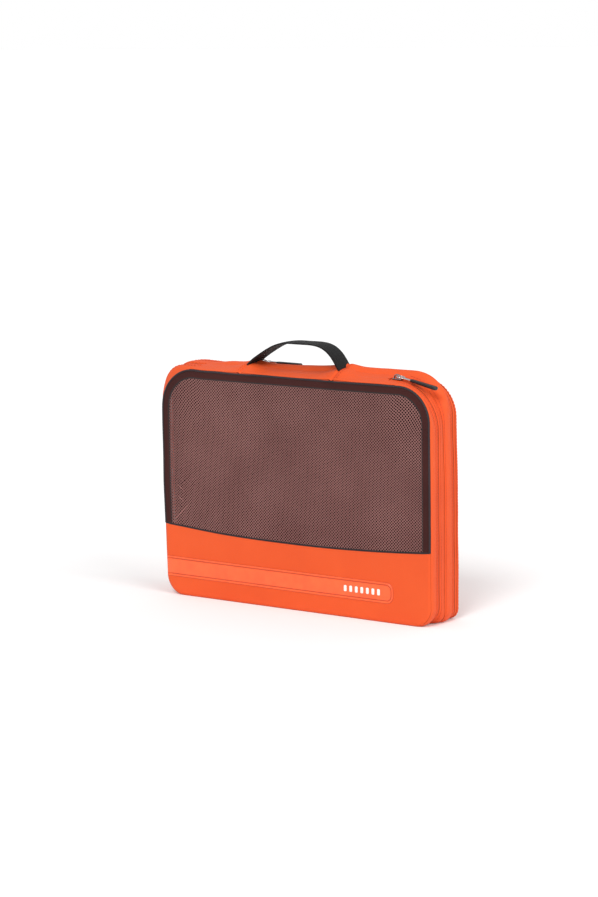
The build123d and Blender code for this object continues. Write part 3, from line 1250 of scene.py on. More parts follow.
class Slot(Enum):
    """Material slots of the record."""

    CLOTH = "orange_cloth"
    TAPE = "orange_tape"
    COIL = "orange_coil"
    FILM = "trim_film"
    PRINT = "mark_print"
    MESH = "mesh_knit"
    HEM = "hem_cloth"
    PIPING = "piping_cloth"
    BINDING = "binding_tape"
    DIVIDER = "divider_cloth"
    WEBBING = "webbing"
    METAL = "slider_metal"
    RUBBER = "tab_rubber"


FINISHES: dict[Slot, ClothFinish | HardFinish] = {
    Slot.CLOTH: ClothFinish("orange_cloth", linear(237, 90, 35), linear(231, 84, 31)),
    Slot.TAPE: ClothFinish(
        "orange_tape", linear(238, 89, 35), linear(230, 82, 31), threads=1500.0, depth=0.00012
    ),
    Slot.COIL: ClothFinish(
        "orange_coil", linear(226, 84, 48), linear(205, 70, 40), Pattern.SMOOTH, roughness=0.38, gap_shade=0.08
    ),
    Slot.FILM: HardFinish(
        "trim_film",
        linear(243, 99, 43),
        linear(238, 91, 39),
        roughness=0.42,
        grain=2600.0,
        depth=0.00003,
        coat=0.1,
    ),
    Slot.PRINT: HardFinish("mark_print", linear(250, 246, 240), linear(240, 232, 224), roughness=0.5),
    Slot.MESH: ClothFinish(
        "mesh_knit", linear(158, 110, 105), linear(138, 92, 88), Pattern.SMOOTH, roughness=0.6, gap_shade=0.12
    ),
    Slot.HEM: ClothFinish(
        "hem_cloth", linear(69, 31, 28), linear(59, 26, 24), threads=1700.0, depth=0.00012, specular=0.15
    ),
    Slot.PIPING: ClothFinish(
        "piping_cloth", linear(48, 42, 46), linear(38, 33, 37), Pattern.SMOOTH, roughness=0.55, gap_shade=0.1
    ),
    Slot.BINDING: ClothFinish(
        "binding_tape",
        linear(46, 38, 40),
        linear(36, 30, 32),
        Pattern.HERRINGBONE,
        threads=900.0,
        columns=600.0,
    ),
    # Very dark brown, partly the divider's own colour and partly painted shade: it stands for the shaded
    # inside seen through the mesh and on every inner side.
    Slot.DIVIDER: ClothFinish(
        "divider_cloth", linear(38, 18, 16), linear(30, 14, 13), threads=1500.0, sheen=0.0, specular=0.1
    ),
    Slot.WEBBING: ClothFinish(
        "webbing",
        linear(40, 40, 41),
        linear(22, 22, 23),
        Pattern.HERRINGBONE,
        threads=520.0,
        columns=300.0,
        depth=0.0005,
        gap_shade=0.4,
        roughness=0.6,
        sheen=0.01,
        specular=0.2,
    ),
    Slot.METAL: HardFinish(
        "slider_metal",
        (0.66, 0.68, 0.69),
        (0.5, 0.52, 0.54),
        metallic=1.0,
        roughness=0.16,
        spread=0.05,
        depth=0.000008,
    ),
    Slot.RUBBER: HardFinish(
        "tab_rubber", linear(24, 26, 28), linear(16, 18, 20), roughness=0.32, depth=0.00003
    ),
}


class Wardrobe:
    """Every finish, made into a material once."""

    def __init__(self) -> None:
        """Build the node groups and the materials."""
        groups = Groups()
        self.slots = {slot: finish.make(groups) for slot, finish in FINISHES.items()}
        self.orange_thread = ClothFinish(
            "orange_thread",
            linear(214, 74, 32),
            linear(188, 60, 26),
            Pattern.SMOOTH,
            roughness=0.45,
            gap_shade=0.1,
        ).make(groups)
        self.dark_metal = HardFinish(
            "dark_metal", (0.3, 0.31, 0.32), (0.2, 0.21, 0.22), metallic=1.0, roughness=0.22, depth=0.000008
        ).make(groups)
        # Painted shade: a darker orange for the trim strip's edge and the dip inside its bead, standing in
        # for the shadow there.
        self.painted_groove_shade = HardFinish(
            "painted_groove_shade", linear(196, 62, 26), linear(186, 56, 22), roughness=0.5
        ).make(groups)
        self.dark_thread = ClothFinish(
            "dark_thread", linear(44, 30, 30), linear(30, 22, 22), Pattern.SMOOTH, roughness=0.5, gap_shade=0.1
        ).make(groups)

    def __getitem__(self, slot: Slot) -> bpy.types.Material:
        """Material of a slot."""
        return self.slots[slot]


class Body(Enum):
    """Bodies of the frame that pieces ride on."""

    CASE = "case"
    HANDLE = "handle"
    FRONT_LID = "front_lid"
    REAR_LID = "rear_lid"
    FRONT_SLIDER = "front_slider"
    REAR_SLIDER = "rear_slider"
    FRONT_PULLER = "front_puller"
    REAR_PULLER = "rear_puller"


# ------------------------------------------------------------------ shared shapes


def rounded_plate(
    bm: Mesh, length: float, width: float, thickness: float, corner: float, edge: float
) -> None:
    """Flat plate with round corners and eased edges, centred on the origin and lying in X and Y.

    Args:
        bm: The mesh.
        length: Size along X.
        width: Size along Y.
        thickness: Size along Z.
        corner: Radius of the corners.
        edge: How far the edges are eased.
    """
    made = bmesh.ops.create_grid(bm, x_segments=1, y_segments=1, size=1.0)["verts"]
    bmesh.ops.scale(bm, vec=(length / 2.0, width / 2.0, 1.0), verts=made)
    round_off(bm, made, corner, 6, "VERTICES")
    face = bm.faces[:][0]
    bm.normal_update()
    bmesh.ops.translate(bm, vec=(0.0, 0.0, -thickness / 2.0), verts=face.verts)
    made = bmesh.ops.extrude_face_region(bm, geom=[face])["geom"]
    fresh = [v for v in made if isinstance(v, Corner)]
    bmesh.ops.translate(bm, vec=(0.0, 0.0, thickness), verts=fresh)
    bmesh.ops.recalc_face_normals(bm, faces=bm.faces[:])
    round_off(bm, rim_edges(bm), edge, 3, "EDGES")


def inset_rings(bm: Mesh, steps: Sequence[float]) -> list[list[Face]]:
    """Inset a one-face sheet again and again.

    Args:
        bm: The mesh.
        steps: Width of each ring, from the rim inwards.

    Returns:
        The faces of each ring.
    """
    middle = bm.faces[:][0]
    rings = []
    for step in steps:
        made = bmesh.ops.inset_region(
            bm, faces=[middle], thickness=step, use_even_offset=True, use_boundary=True
        )
        rings.append(made["faces"])
    return rings


@dataclass(frozen=True)
class ZipLine:
    """Where one zip runs round the case, in millimetres."""

    side: str
    seam: float
    lid_edge: float
    slit: float
    case_edge: float
    fold: tuple[float, float]
    garage: tuple[float, float]
    lid: Body
    toward: float
    top: float
    turn_length: float = 22.0

    def over(self, spot: Vector, span: tuple[float, float]) -> bool:
        """Whether a place is on the top, within a stretch of its width."""
        return spot.z > self.top - 55.0 and span[0] < spot.x < span[1]

    def unparted(self, spot: Vector) -> bool:
        """Whether the lid is sewn to the case here."""
        return self.over(spot, self.fold)

    def beyond(self, spot: Vector, depth: float) -> bool:
        """Whether a place is on the lid's side of a depth."""
        return (spot.y - depth) * self.toward > 0.0


class Stitcher:
    """Presses rows of stitches into sewn pieces."""

    def __init__(self, form: CaseForm) -> None:
        """Make the stitch that every row repeats.

        Args:
            form: The case's sizes.
        """
        self.form = form
        self.stitch = Stamp("stitch", lambda bm: rod(bm, 2.6, 0.3, 5), 1)
        self.pitch = 3.5

    def across(self, bm: Mesh, x: float, start: float, end: float) -> None:
        """Stitch across the top of the case, from one depth to another.

        Args:
            bm: The settled piece.
            x: Place across.
            start: First depth.
            end: Last depth.
        """
        count = int((end - start) / self.pitch)
        step = (end - start) / count
        high = self.form.height + 0.1
        spots = [self.form.settle(Vector((x, start + step * i, high))) for i in range(count + 1)]
        for near, far in zip(spots, spots[1:]):
            self.stitch.press(bm, place_on((near + far) / 2.0, far - near, Vector((0, 0, 1))))

    def round_case(self, bm: Mesh, depth: float, where: Test, inset: float = 0.0) -> None:
        """Stitch round the case at a depth, where a test allows.

        Args:
            bm: The settled piece.
            depth: Depth of the row.
            where: Picks the plain places that are stitched.
            inset: How far the piece's face lies under the outline.
        """
        form = self.form
        count = int(form.perimeter / self.pitch)
        for index in range(count):
            ends = []
            for share in (0.12, 0.88):
                plain = form.point(form.perimeter * (index + share) / count)
                plain.y = depth
                _, out = form.nearest(plain.x, plain.z)
                ends.append(form.settle(plain - out * (inset - 0.1)))
            if where(plain):
                self.stitch.press(bm, place_on((ends[0] + ends[1]) / 2.0, ends[1] - ends[0], out))


@dataclass
class Workshop:
    """What every sub-assembly needs: the form, the finishes, the stitches, the zips and the cloth's sizes."""

    form: CaseForm
    wardrobe: Wardrobe
    stitcher: Stitcher
    zips: dict[Body, ZipLine]
    wall: float = 1.2
    tape_inset: float = 0.5
    tape_thickness: float = 0.8
    slit_half: float = 0.35

    @classmethod
    def open(cls) -> "Workshop":
        """Read the frame and set everything up.

        Returns:
            The workshop.
        """
        form = CaseForm.from_frame()
        front = ZipLine(
            "front",
            form.front_seam,
            form.front_tape,
            form.front_slit,
            form.front_sewn,
            form.front_fold,
            (form.front_fold[1] - form.garage, form.front_fold[1]),
            Body.FRONT_LID,
            -1.0,
            form.height,
        )
        rear = ZipLine(
            "rear",
            form.rear_seam,
            form.rear_tape,
            form.rear_slit,
            form.rear_sewn,
            form.rear_fold,
            (form.rear_fold[0], form.rear_fold[0] + form.garage),
            Body.REAR_LID,
            1.0,
            form.height,
        )
        return cls(form, Wardrobe(), Stitcher(form), {Body.FRONT_LID: front, Body.REAR_LID: rear})

    def band(
        self, depths: Sequence[float], inset: float, thickness: float, keep: Test, marks: Sequence[float]
    ) -> Mesh:
        """Settled band of cloth round the case.

        Args:
            depths: Depths of its rows.
            inset: How far its face lies inside the outline.
            thickness: Thickness of the cloth.
            keep: Picks the plain faces that belong to it.
            marks: Places across the top where it may be cut.

        Returns:
            The mesh, with its cloth coordinates.
        """
        form = self.form
        bm = band_mesh(form, depths, inset)
        high = form.height - form.corner
        near = 12.0
        for mark in marks:
            place = Vector((mark, 0, 0))
            slice_where(bm, place, Vector((1, 0, 0)), lambda c, m=mark: c.z > high and abs(c.x - m) < near)
        slice_where(bm, Vector((0, 0, high)), Vector((0, 0, 1)), lambda c: abs(c.z - high) < near)
        drop_faces(bm, lambda c: not keep(c))
        lay_uv(bm, lambda co: (form.around(co.x, co.z), co.y), form.perimeter)
        reshape(bm, form.settle)
        thicken(bm, thickness, LINING)
        return bm

    def piece(
        self,
        name: str,
        bm: Mesh,
        slot: Slot,
        body: Optional[Body],
        replaces: Sequence[str] = (),
        second: Optional[bpy.types.Material] = None,
        crease: float = 40.0,
    ) -> bpy.types.Object:
        """Finish a mesh as a named piece.

        Args:
            name: Name of the piece.
            bm: Its mesh, in millimetres.
            slot: Slot of the record that it is finished from.
            body: Body that it rides on, or None if it rides on none.
            replaces: CAD nodes that it stands for.
            second: Material of its stitches or edge.
            crease: Angle in degrees past which an edge is sharp.

        Returns:
            The finished object.
        """
        # The third material, the divider's dark brown, goes on inner sides and rims, partly as painted shade
        # of the inside.
        materials = [self.wardrobe[slot], second or self.wardrobe[slot], self.wardrobe[Slot.DIVIDER]]
        work = Workpiece(name, bm, materials, slot.value, replaces, crease)
        return work.finish(body.value if body else None)


# ------------------------------------------------------------------ case


@dataclass
class CaseShell:
    """Everything that belongs to the case: gusset, top panel, its halves of the zips, and the divider."""

    shop: Workshop
    cross_rows: tuple[float, float] = (1.7, 4.4)
    cross_margins: tuple[float, float] = (2.6, 1.2)
    divider_depth: float = 3.5
    divider_inset: float = 2.2
    divider_thickness: float = 0.8
    binding_width: float = 3.0

    def build(self) -> None:
        """Make every piece of the case."""
        self.make_gusset()
        self.make_top_panel()
        for zip_line in self.shop.zips.values():
            self.make_tape(zip_line)
        self.make_end_tabs()
        self.make_divider()

    def all_depths(self) -> list[float]:
        """Depths of the rows from the front seam to the rear seam.

        Returns:
            The depths.
        """
        form = self.shop.form
        last = form.rear_seam - 0.3
        edges = (form.front_seam + 0.3, *form.seams[1:-1], last)
        return [d for start, end in zip(edges, edges[1:]) for d in stations(start, end)[:-1]] + [last]

    def marks(self) -> list[float]:
        """Places across the top where the case's pieces end, and close beside the handle's seams.

        Returns:
            The places, from left to right.
        """
        form = self.shop.form
        marks = [form.front_fold[0], form.front_fold[1], form.front_fold[1] - form.garage]
        marks += [form.rear_fold[0], form.rear_fold[0] + form.garage]
        for seam in (form.handle_left, form.handle_right):
            marks += [seam + d for d in (-3.0, -1.6, -0.8, 0.0, 0.8, 1.6, 3.0)]
        return sorted(set(marks))

    def is_gusset(self, spot: Vector) -> bool:
        """Whether a place belongs to the gusset or the top beside the handle.

        Args:
            spot: The plain place.

        Returns:
            Whether it does.
        """
        for line in self.shop.zips.values():
            if line.beyond(spot, line.case_edge) and (not line.unparted(spot) or self.in_garage(spot, line)):
                return False
        return not self.is_top_panel(spot)

    def in_garage(self, spot: Vector, line: ZipLine) -> bool:
        """Whether a place is on the closed end of a zip."""
        between = line.beyond(spot, line.case_edge) and not line.beyond(spot, line.lid_edge)
        return between and line.over(spot, line.garage)

    def is_top_panel(self, spot: Vector) -> bool:
        """Whether a place is between the handle's seams."""
        form = self.shop.form
        return spot.z > form.height - form.corner and form.handle_left < spot.x < form.handle_right

    def make_gusset(self) -> None:
        """The long gusset, with a row of stitches beside each zip and beside the handle's seams."""
        shop, form = self.shop, self.shop.form
        bm = shop.band(self.all_depths(), 0.0, shop.wall, self.is_gusset, self.marks())
        for line in shop.zips.values():
            row = line.case_edge - 1.3 * line.toward
            shop.stitcher.round_case(bm, row, lambda c, z=line: not z.unparted(c))
        start, end = form.front_seam + self.cross_margins[0], form.rear_seam - self.cross_margins[1]
        for seam, side in ((form.handle_left, -1.0), (form.handle_right, 1.0)):
            for step in self.cross_rows:
                shop.stitcher.across(bm, seam + side * step, start, end)
        shop.piece("case_gusset", bm, Slot.CLOTH, Body.CASE, ["side_gusset"], shop.wardrobe.orange_thread)

    def make_top_panel(self) -> None:
        """The piece of the top that lies between the handle's seams."""
        shop = self.shop
        rear = shop.zips[Body.REAR_LID]

        def keep(spot: Vector) -> bool:
            """Whether a place belongs to the panel."""
            return self.is_top_panel(spot) and not self.in_garage(spot, rear)

        bm = shop.band(self.all_depths(), 0.0, shop.wall, keep, self.marks())
        shop.piece("top_panel", bm, Slot.CLOTH, Body.CASE, ["handle_panel"], shop.wardrobe.orange_thread)

    def make_tape(self, line: ZipLine) -> None:
        """The case's half of a zip: its tape with the closed end, and its teeth.

        Args:
            line: The zip.
        """
        shop = self.shop
        near = line.slit - line.toward * shop.slit_half
        far = line.slit + line.toward * shop.slit_half
        hidden = line.case_edge - line.toward * 0.8
        outer = line.lid_edge + line.toward * 0.6
        edges = sorted((hidden, near, far, outer))
        depths = [d for start, end in zip(edges, edges[1:]) for d in stations(start, end)[:-1]] + [edges[-1]]
        slit_end = line.garage[1] - 13.0 if line.toward < 0 else line.garage[0] + 13.0

        def keep(spot: Vector) -> bool:
            """Whether a place belongs to the tape.

            Args:
                spot: The plain place.

            Returns:
                True on the tape's own half, and across both halves at the closed end.
            """
            if line.over(spot, line.garage):
                in_slit = abs(spot.y - line.slit) < shop.slit_half
                return not (in_slit and (spot.x - slit_end) * -line.toward > 0.0)
            return not line.unparted(spot) and line.beyond(Vector((0, near, 0)), spot.y)

        marks = [*line.fold, *line.garage, slit_end]
        bm = shop.band(depths, shop.tape_inset, shop.tape_thickness, keep, marks)
        row = line.slit - line.toward * 3.0
        shop.stitcher.round_case(bm, row, lambda c: not line.unparted(c), shop.tape_inset)
        name = f"{line.side}_zip_tape_case"
        shop.piece(name, bm, Slot.TAPE, Body.CASE, [name], shop.wardrobe.orange_thread)
        bm = make_teeth(shop, line, -line.toward, lambda c: not line.unparted(c))
        name = f"{line.side}_zip_coil_case"
        shop.piece(name, bm, Slot.COIL, Body.CASE, [name])

    def make_end_tabs(self) -> None:
        """Bar tacks over the ends of both zips."""
        shop, form = self.shop, self.shop.form
        tab = Stamp("bar_tack", lambda bm: rounded_plate(bm, 2.0, 6.4, 0.7, 0.6, 0.25))
        bm = bmesh.new()
        for line in shop.zips.values():
            inner = line.garage[0] - 1.6 if line.toward < 0 else line.garage[1] + 1.6
            outer = line.fold[0] + 1.4 if line.toward < 0 else line.fold[1] - 1.6
            for x in (inner, outer):
                spot = Vector((x, line.slit, form.top_at(x)))
                _, out = form.nearest(spot.x, spot.z)
                along = Vector((out.z, 0.0, -out.x))
                tab.press(bm, place_on(form.settle(spot) + out * 0.35, along, out))
        shop.piece("zip_end_tabs", bm, Slot.TAPE, Body.CASE, ["zip_end_tabs"], crease=50.0)

    def make_divider(self) -> None:
        """The sheet between the compartments, and the tape that binds its edge."""
        shop, form = self.shop, self.shop.form
        bm = outline_face(form, self.divider_depth, self.divider_inset)
        inset_rings(bm, (2.0, 3.0))
        slice_grid(bm, 12.0, form.height + 12.0)
        lay_uv(bm, lambda co: (co.x, co.z))

        def hang(co: Vector) -> Vector:
            """Settled place of a point of the divider, which comes down with the crown."""
            lowered = form.lean(Vector((co.x, self.divider_depth, co.z)))
            return form.settle_sheet(co, self.divider_depth, 0.0, 0.0) - Vector((0.0, 0.0, lowered))

        reshape(bm, hang)
        thicken(bm, self.divider_thickness)
        panel = shop.piece("divider_panel", bm, Slot.DIVIDER, Body.CASE, ["divider_panel"])
        start = self.divider_depth + 0.5
        depths = stations(start, start + self.binding_width)
        bm = shop.band(depths, shop.wall + 0.6, shop.tape_thickness, lambda c: True, [])
        shop.piece("divider_binding", bm, Slot.BINDING, Body.CASE, ["divider_binding"])


def make_teeth(shop: Workshop, line: ZipLine, side: float, where: Test) -> Mesh:
    """Coil of one half of a zip, tooth by tooth, under the edge of its tape.

    Args:
        shop: The workshop.
        line: The zip.
        side: Which way from the slit the half lies, -1 towards the front.
        where: Picks the plain places that have teeth.

    Returns:
        The mesh of all the teeth.
    """
    form = shop.form
    tooth = Stamp("tooth", lambda bm: rod(bm, 1.9, 0.5, 6))
    bm = bmesh.new()
    count = int(form.perimeter / 1.7)
    for index in range(count):
        plain = form.point(form.perimeter * index / count)
        plain.y = line.slit + side * 1.45
        if where(plain):
            _, out = form.nearest(plain.x, plain.z)
            spot = form.settle(plain) - out * 1.9
            tooth.press(bm, place_on(spot, Vector((0, 1, 0)), out))
    return bm


# ------------------------------------------------------------------ lids


@dataclass
class Lid:
    """What both lids have: the strip, the tape and teeth of the zip, and the bound seam inside."""

    shop: Workshop
    line: ZipLine
    panel_inset: float = 0.2
    panel_proud: float = 1.2
    panel_thickness: float = 1.0
    bulge: float = 2.0

    def bands(self) -> None:
        """Make the lid's bands, each in three parts: two on the top beyond the fold's ends, which ride on no
        body, and the rest, which rides on the lid.
        """
        shop, line, side = self.shop, self.line, self.line.side
        thread, tape = shop.wardrobe.orange_thread, shop.tape_thickness
        row = line.lid_edge + line.toward * 1.3
        self.band(f"{side}_lid_strip", line.seam, line.lid_edge, 0.0, shop.wall, Slot.CLOTH, thread, row)
        start = line.lid_edge + line.toward * 0.6
        end = line.slit + line.toward * shop.slit_half
        row = line.slit + line.toward * 3.0 if line.toward < 0 else None
        self.band(f"{side}_zip_tape_lid", start, end, shop.tape_inset, tape, Slot.TAPE, thread, row)
        inner = line.seam - line.toward * 3.0
        self.band(f"{side}_seam_binding", line.seam, inner, shop.wall + 0.3, tape, Slot.BINDING)
        name = f"{side}_zip_coil_lid"
        for suffix, keep, turn in self.regions():
            bm = make_teeth(shop, line, line.toward, keep)
            self.place(name, suffix, bm, Slot.COIL, None, turn)

    def regions(self) -> Iterator[tuple[str, Test, Optional[tuple[float, float]]]]:
        """Name, test and turning stretch of each part of a lid's band.

        Returns:
            Each part; the stretch is None for the part that rides on the lid, and given for the two that ride
            on no body.
        """
        line = self.line
        high = self.shop.form.height - self.shop.form.corner
        left, right = line.fold
        yield "", lambda c: c.z < high, None
        yield "_right", lambda c: c.z > high and c.x > right, (right, right + line.turn_length)
        yield "_left", lambda c: c.z > high and c.x < left, (left, left - line.turn_length)

    def place(
        self,
        name: str,
        suffix: str,
        bm: Mesh,
        slot: Slot,
        thread: Optional[bpy.types.Material],
        turn: Optional[tuple[float, float]],
    ) -> None:
        """Finish one part of a band, riding on the lid or on no body.

        Args:
            name: Name of the band.
            suffix: Which part it is, empty for the main one.
            bm: Its mesh.
            slot: Its finish.
            thread: Material of its stitches, or None.
            turn: Stretch where the part would turn, or None; only whether it is given is read, and a part
                with one rides on no body.
        """
        replaced = [name] if not suffix else []
        piece = self.shop.piece(name + suffix, bm, slot, None if turn else self.line.lid, replaced, thread)
        if turn:
            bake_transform(piece)

    def band(
        self,
        name: str,
        start: float,
        end: float,
        inset: float,
        thickness: float,
        slot: Slot,
        thread: Optional[bpy.types.Material] = None,
        row: Optional[float] = None,
    ) -> None:
        """Make one band of the lid in its three parts.

        Args:
            name: Name of the CAD node that it stands for, and of its main part.
            start: Depth where it starts.
            end: Depth where it ends.
            inset: How far its face lies inside the outline.
            thickness: Thickness of the cloth.
            slot: Its finish.
            thread: Material of its stitches, or None.
            row: Depth of its row of stitches, or None.
        """
        depths = stations(*sorted((start, end)))
        for suffix, keep, turn in self.regions():
            bm = self.shop.band(depths, inset, thickness, keep, self.line.fold)
            if row is not None:
                self.shop.stitcher.round_case(bm, row, keep, inset)
            self.place(name, suffix, bm, slot, thread, turn)

    def fold_strip(self) -> None:
        """Make the soft roll of cloth that joins the lid to the top along the fold."""
        shop, form, line = self.shop, self.shop.form, self.line
        count = 60
        path = []
        for index in range(count + 1):
            x = line.fold[0] + (line.fold[1] - line.fold[0]) * index / count
            path.append(form.settle(Vector((x, line.seam, form.top_at(x) - 0.9))))
        bm = bmesh.new()
        sweep(bm, path, 1.7, 1.7, lambda c: Vector((0, 0, 1)), sides=10)
        name = f"{line.side}_fold_strip"
        piece = shop.piece(name, bm, Slot.CLOTH, None)
        top = form.height - form.top_drop(line.seam)
        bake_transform(piece)

    def on_face(self, spot: Vector, proud: float) -> Vector:
        """Settled place of a point of the lid's panel."""
        toward = self.line.toward
        return self.shop.form.settle_sheet(spot, self.line.seam, toward * proud, toward * self.bulge)


@dataclass
class RearLid(Lid):
    """The rear lid, with its plain panel."""

    def build(self) -> None:
        """Make every piece of the rear lid."""
        self.bands()
        self.fold_strip()
        shop, form = self.shop, self.shop.form
        bm = outline_face(form, self.line.seam, self.panel_inset)
        inset_rings(bm, PANEL_RINGS)
        slice_grid(bm, PANEL_CELL, form.height + PANEL_CELL)
        lay_uv(bm, lambda co: (co.x, co.z))
        reshape(bm, lambda co: self.on_face(co, self.panel_proud))
        bmesh.ops.reverse_faces(bm, faces=bm.faces[:])
        thicken(bm, self.panel_thickness)
        panel = shop.piece("rear_panel", bm, Slot.CLOTH, Body.REAR_LID, ["rear_panel"])


@dataclass
class FrontLid(Lid):
    """The front lid: a mesh window in a dark hem over a plain lower panel with a welded strip."""

    edge_end: float = 78.0
    edge_middle: float = 71.3
    piping: float = 2.0
    hem: float = 8.3
    thread_pitch: float = 2.36
    thread_width: float = 0.73
    thread_thickness: float = 0.55
    thread_parts: int = 14
    strip_low: float = 20.5
    strip_high: float = 43.0
    strip_end: float = 124.6
    strip_corner: float = 8.5
    bar_count: int = 7
    bar_width: float = 3.4
    hem_rings: tuple[float, ...] = (0.5, 0.8, 1.1, 1.2, 1.2, 1.2, 1.0, 0.3, 0.3, 1.6)

    def build(self) -> None:
        """Make every piece of the front lid."""
        self.bands()
        self.fold_strip()
        self.make_lower_panel()
        self.make_strip()
        self.make_mark()
        self.make_hem()
        self.make_mesh()
        self.make_piping()
        self.make_edge_binding()

    def mesh_edge(self, x: float) -> float:
        """Height of the mesh's bottom edge, a shallow bowl."""
        share = x / self.shop.form.half_width
        return self.edge_middle + (self.edge_end - self.edge_middle) * share * share

    def make_lower_panel(self) -> None:
        """The plain panel under the mesh."""
        shop, form = self.shop, self.shop.form
        bm = outline_face(form, self.line.seam, self.panel_inset)
        inset_rings(bm, PANEL_RINGS)
        bmesh.ops.bisect_plane(
            bm, geom=every(bm), plane_co=(0, 0, self.edge_end + 4.0), plane_no=(0, 0, 1), clear_outer=True
        )
        slice_grid(bm, PANEL_CELL, form.half_width + PANEL_CELL)
        half = form.half_width + 1.0
        cut_along(bm, lambda x: self.mesh_edge(x) + 0.6, -half, half, 12.0, "x")
        drop_faces(bm, lambda c: c.z > self.mesh_edge(c.x) + 0.6)
        lay_uv(bm, lambda co: (co.x, co.z))
        reshape(bm, lambda co: self.on_face(co, self.panel_proud))
        thicken(bm, self.panel_thickness)
        panel = shop.piece("front_lower_panel", bm, Slot.CLOTH, Body.FRONT_LID, ["front_lower_panel"])

    def relief(self, distance: float) -> float:
        """How far the welded strip stands up at a distance in from its edge.

        Args:
            distance: Distance in from the edge.

        Returns:
            The height of the face over the panel.
        """
        bead = 0.85 * math.sin(math.pi * clamp(distance / 2.5, 0.0, 1.0))
        plateau = 0.4 * smooth((distance - 3.0) / 0.8)
        return 0.1 + bead + plateau

    def make_strip(self) -> None:
        """The welded strip: a bead round a slightly raised, glossier field."""
        shop, form = self.shop, self.shop.form
        middle_z = (self.strip_low + self.strip_high) / 2.0
        half_z = (self.strip_high - self.strip_low) / 2.0
        left = -form.half_width - 12.0
        middle = Vector(((left + self.strip_end) / 2.0, self.line.seam, middle_z))
        bm = upright_face(middle, (self.strip_end - left) / 2.0, half_z)
        round_off(bm, bm.verts[:], self.strip_corner, 10, "VERTICES")
        rings = inset_rings(bm, (0.4, 0.4, 0.4, 0.4, 0.4, 0.4, 0.45, 0.45, 0.45, 0.5))
        # Painted shade: the outermost ring and the two rings in the dip between bead and field take the
        # darker orange, standing in for the shadow along the edge and in that dip.
        for face in [*rings[0], *rings[6], *rings[7]]:
            face.material_index = 1
        slice_grid(bm, PANEL_CELL, form.half_width + 2.0 * PANEL_CELL, "x")

        def left_end(z: float) -> float:
            """Where the case ends at the left.

            Args:
                z: Height.

            Returns:
                The place across, just inside the seam.
            """
            radius = form.base_corner
            drop = max(radius - z, 0.0)
            return -form.half_width + radius - math.sqrt(radius**2 - drop**2) + 0.9

        cut_along(bm, left_end, self.strip_low - 1.0, self.strip_high + 1.0, 4.0, "z")
        drop_faces(bm, lambda c: c.x < left_end(c.z))
        lay_uv(bm, lambda co: (co.x, co.z))

        def lift(co: Vector) -> Vector:
            """Settled place of a point of the strip.

            Args:
                co: The point of the flat strip.

            Returns:
                The point on the panel, stood up by the strip's relief.
            """
            over_x = co.x - (self.strip_end - self.strip_corner)
            over_z = abs(co.z - middle_z) - (half_z - self.strip_corner)
            corner = math.hypot(max(over_x, 0.0), max(over_z, 0.0))
            distance = self.strip_corner - corner - min(max(over_x, over_z), 0.0)
            return self.on_face(co, self.panel_proud) - Vector((0.0, self.relief(distance), 0.0))

        reshape(bm, lift)
        thicken(bm, 0.35)
        shop.piece("trim_strip", bm, Slot.FILM, Body.FRONT_LID, ["trim_strip"], shop.wardrobe.painted_groove_shade)

    def make_mark(self) -> None:
        """The row of plain upright bars printed on the strip."""
        shop = self.shop
        low, high = node_box("trim_mark")
        width = self.bar_width
        pitch = (high.x - low.x - width) / (self.bar_count - 1)
        bar = Stamp("bar", lambda bm: rounded_plate(bm, width, high.z - low.z, 0.3, width * 0.35, 0.08))
        bm = bmesh.new()
        for index in range(self.bar_count):
            plain = Vector((low.x + width / 2.0 + pitch * index, self.line.seam, (low.z + high.z) / 2.0))
            spot = self.on_face(plain, self.panel_proud) - Vector((0.0, self.relief(9.0) + 0.05, 0.0))
            bar.press(bm, place_on(spot, Vector((1, 0, 0)), Vector((0, -1, 0))))
        shop.piece("trim_mark", bm, Slot.PRINT, Body.FRONT_LID, ["trim_mark"])

    def make_hem(self) -> None:
        """The dark hem round the top and sides of the mesh."""
        shop, form = self.shop, self.shop.form
        bm = outline_face(form, self.line.seam, self.piping - 0.9)
        for face in inset_rings(bm, self.hem_rings)[-1]:
            face.material_index = 1
        inner = self.piping + self.hem
        drop_faces(bm, lambda c: form.inside(c.x, c.z) > inner + 4.0)
        half = form.half_width + 1.0
        cut_along(bm, lambda x: self.mesh_edge(x) + 1.0, -half, -half + 15.0, 7.5, "x")
        cut_along(bm, lambda x: self.mesh_edge(x) + 1.0, half - 15.0, half, 7.5, "x")
        drop_faces(bm, lambda c: c.z < self.mesh_edge(c.x) + 1.0)
        slice_grid(bm, PANEL_CELL, form.height + PANEL_CELL)
        lay_uv(bm, lambda co: (co.x, co.z))

        def lift(co: Vector) -> Vector:
            """Settled place of a point of the hem.

            Args:
                co: The point of the flat hem.

            Returns:
                The point on the lid, with the hem's rolled inner edge.
            """
            distance = form.inside(co.x, co.z) - self.piping
            rolled = 0.35 * hump(distance - self.hem + 1.6, 1.1) - 0.35 * hump(distance - self.hem + 0.5, 0.6)
            return self.on_face(co, 1.15) - Vector((0.0, rolled, 0.0))

        reshape(bm, lift)
        thicken(bm, 1.1)
        shop.piece("mesh_hem", bm, Slot.HEM, Body.FRONT_LID, ["mesh_hem"], shop.wardrobe.dark_thread)

    def in_window(self, x: float, z: float) -> bool:
        """Whether a place is inside the mesh window, or just under its hem."""
        inner = self.piping + self.hem - 1.2
        return self.shop.form.inside(x, z) > inner and z > self.mesh_edge(x) + 0.6

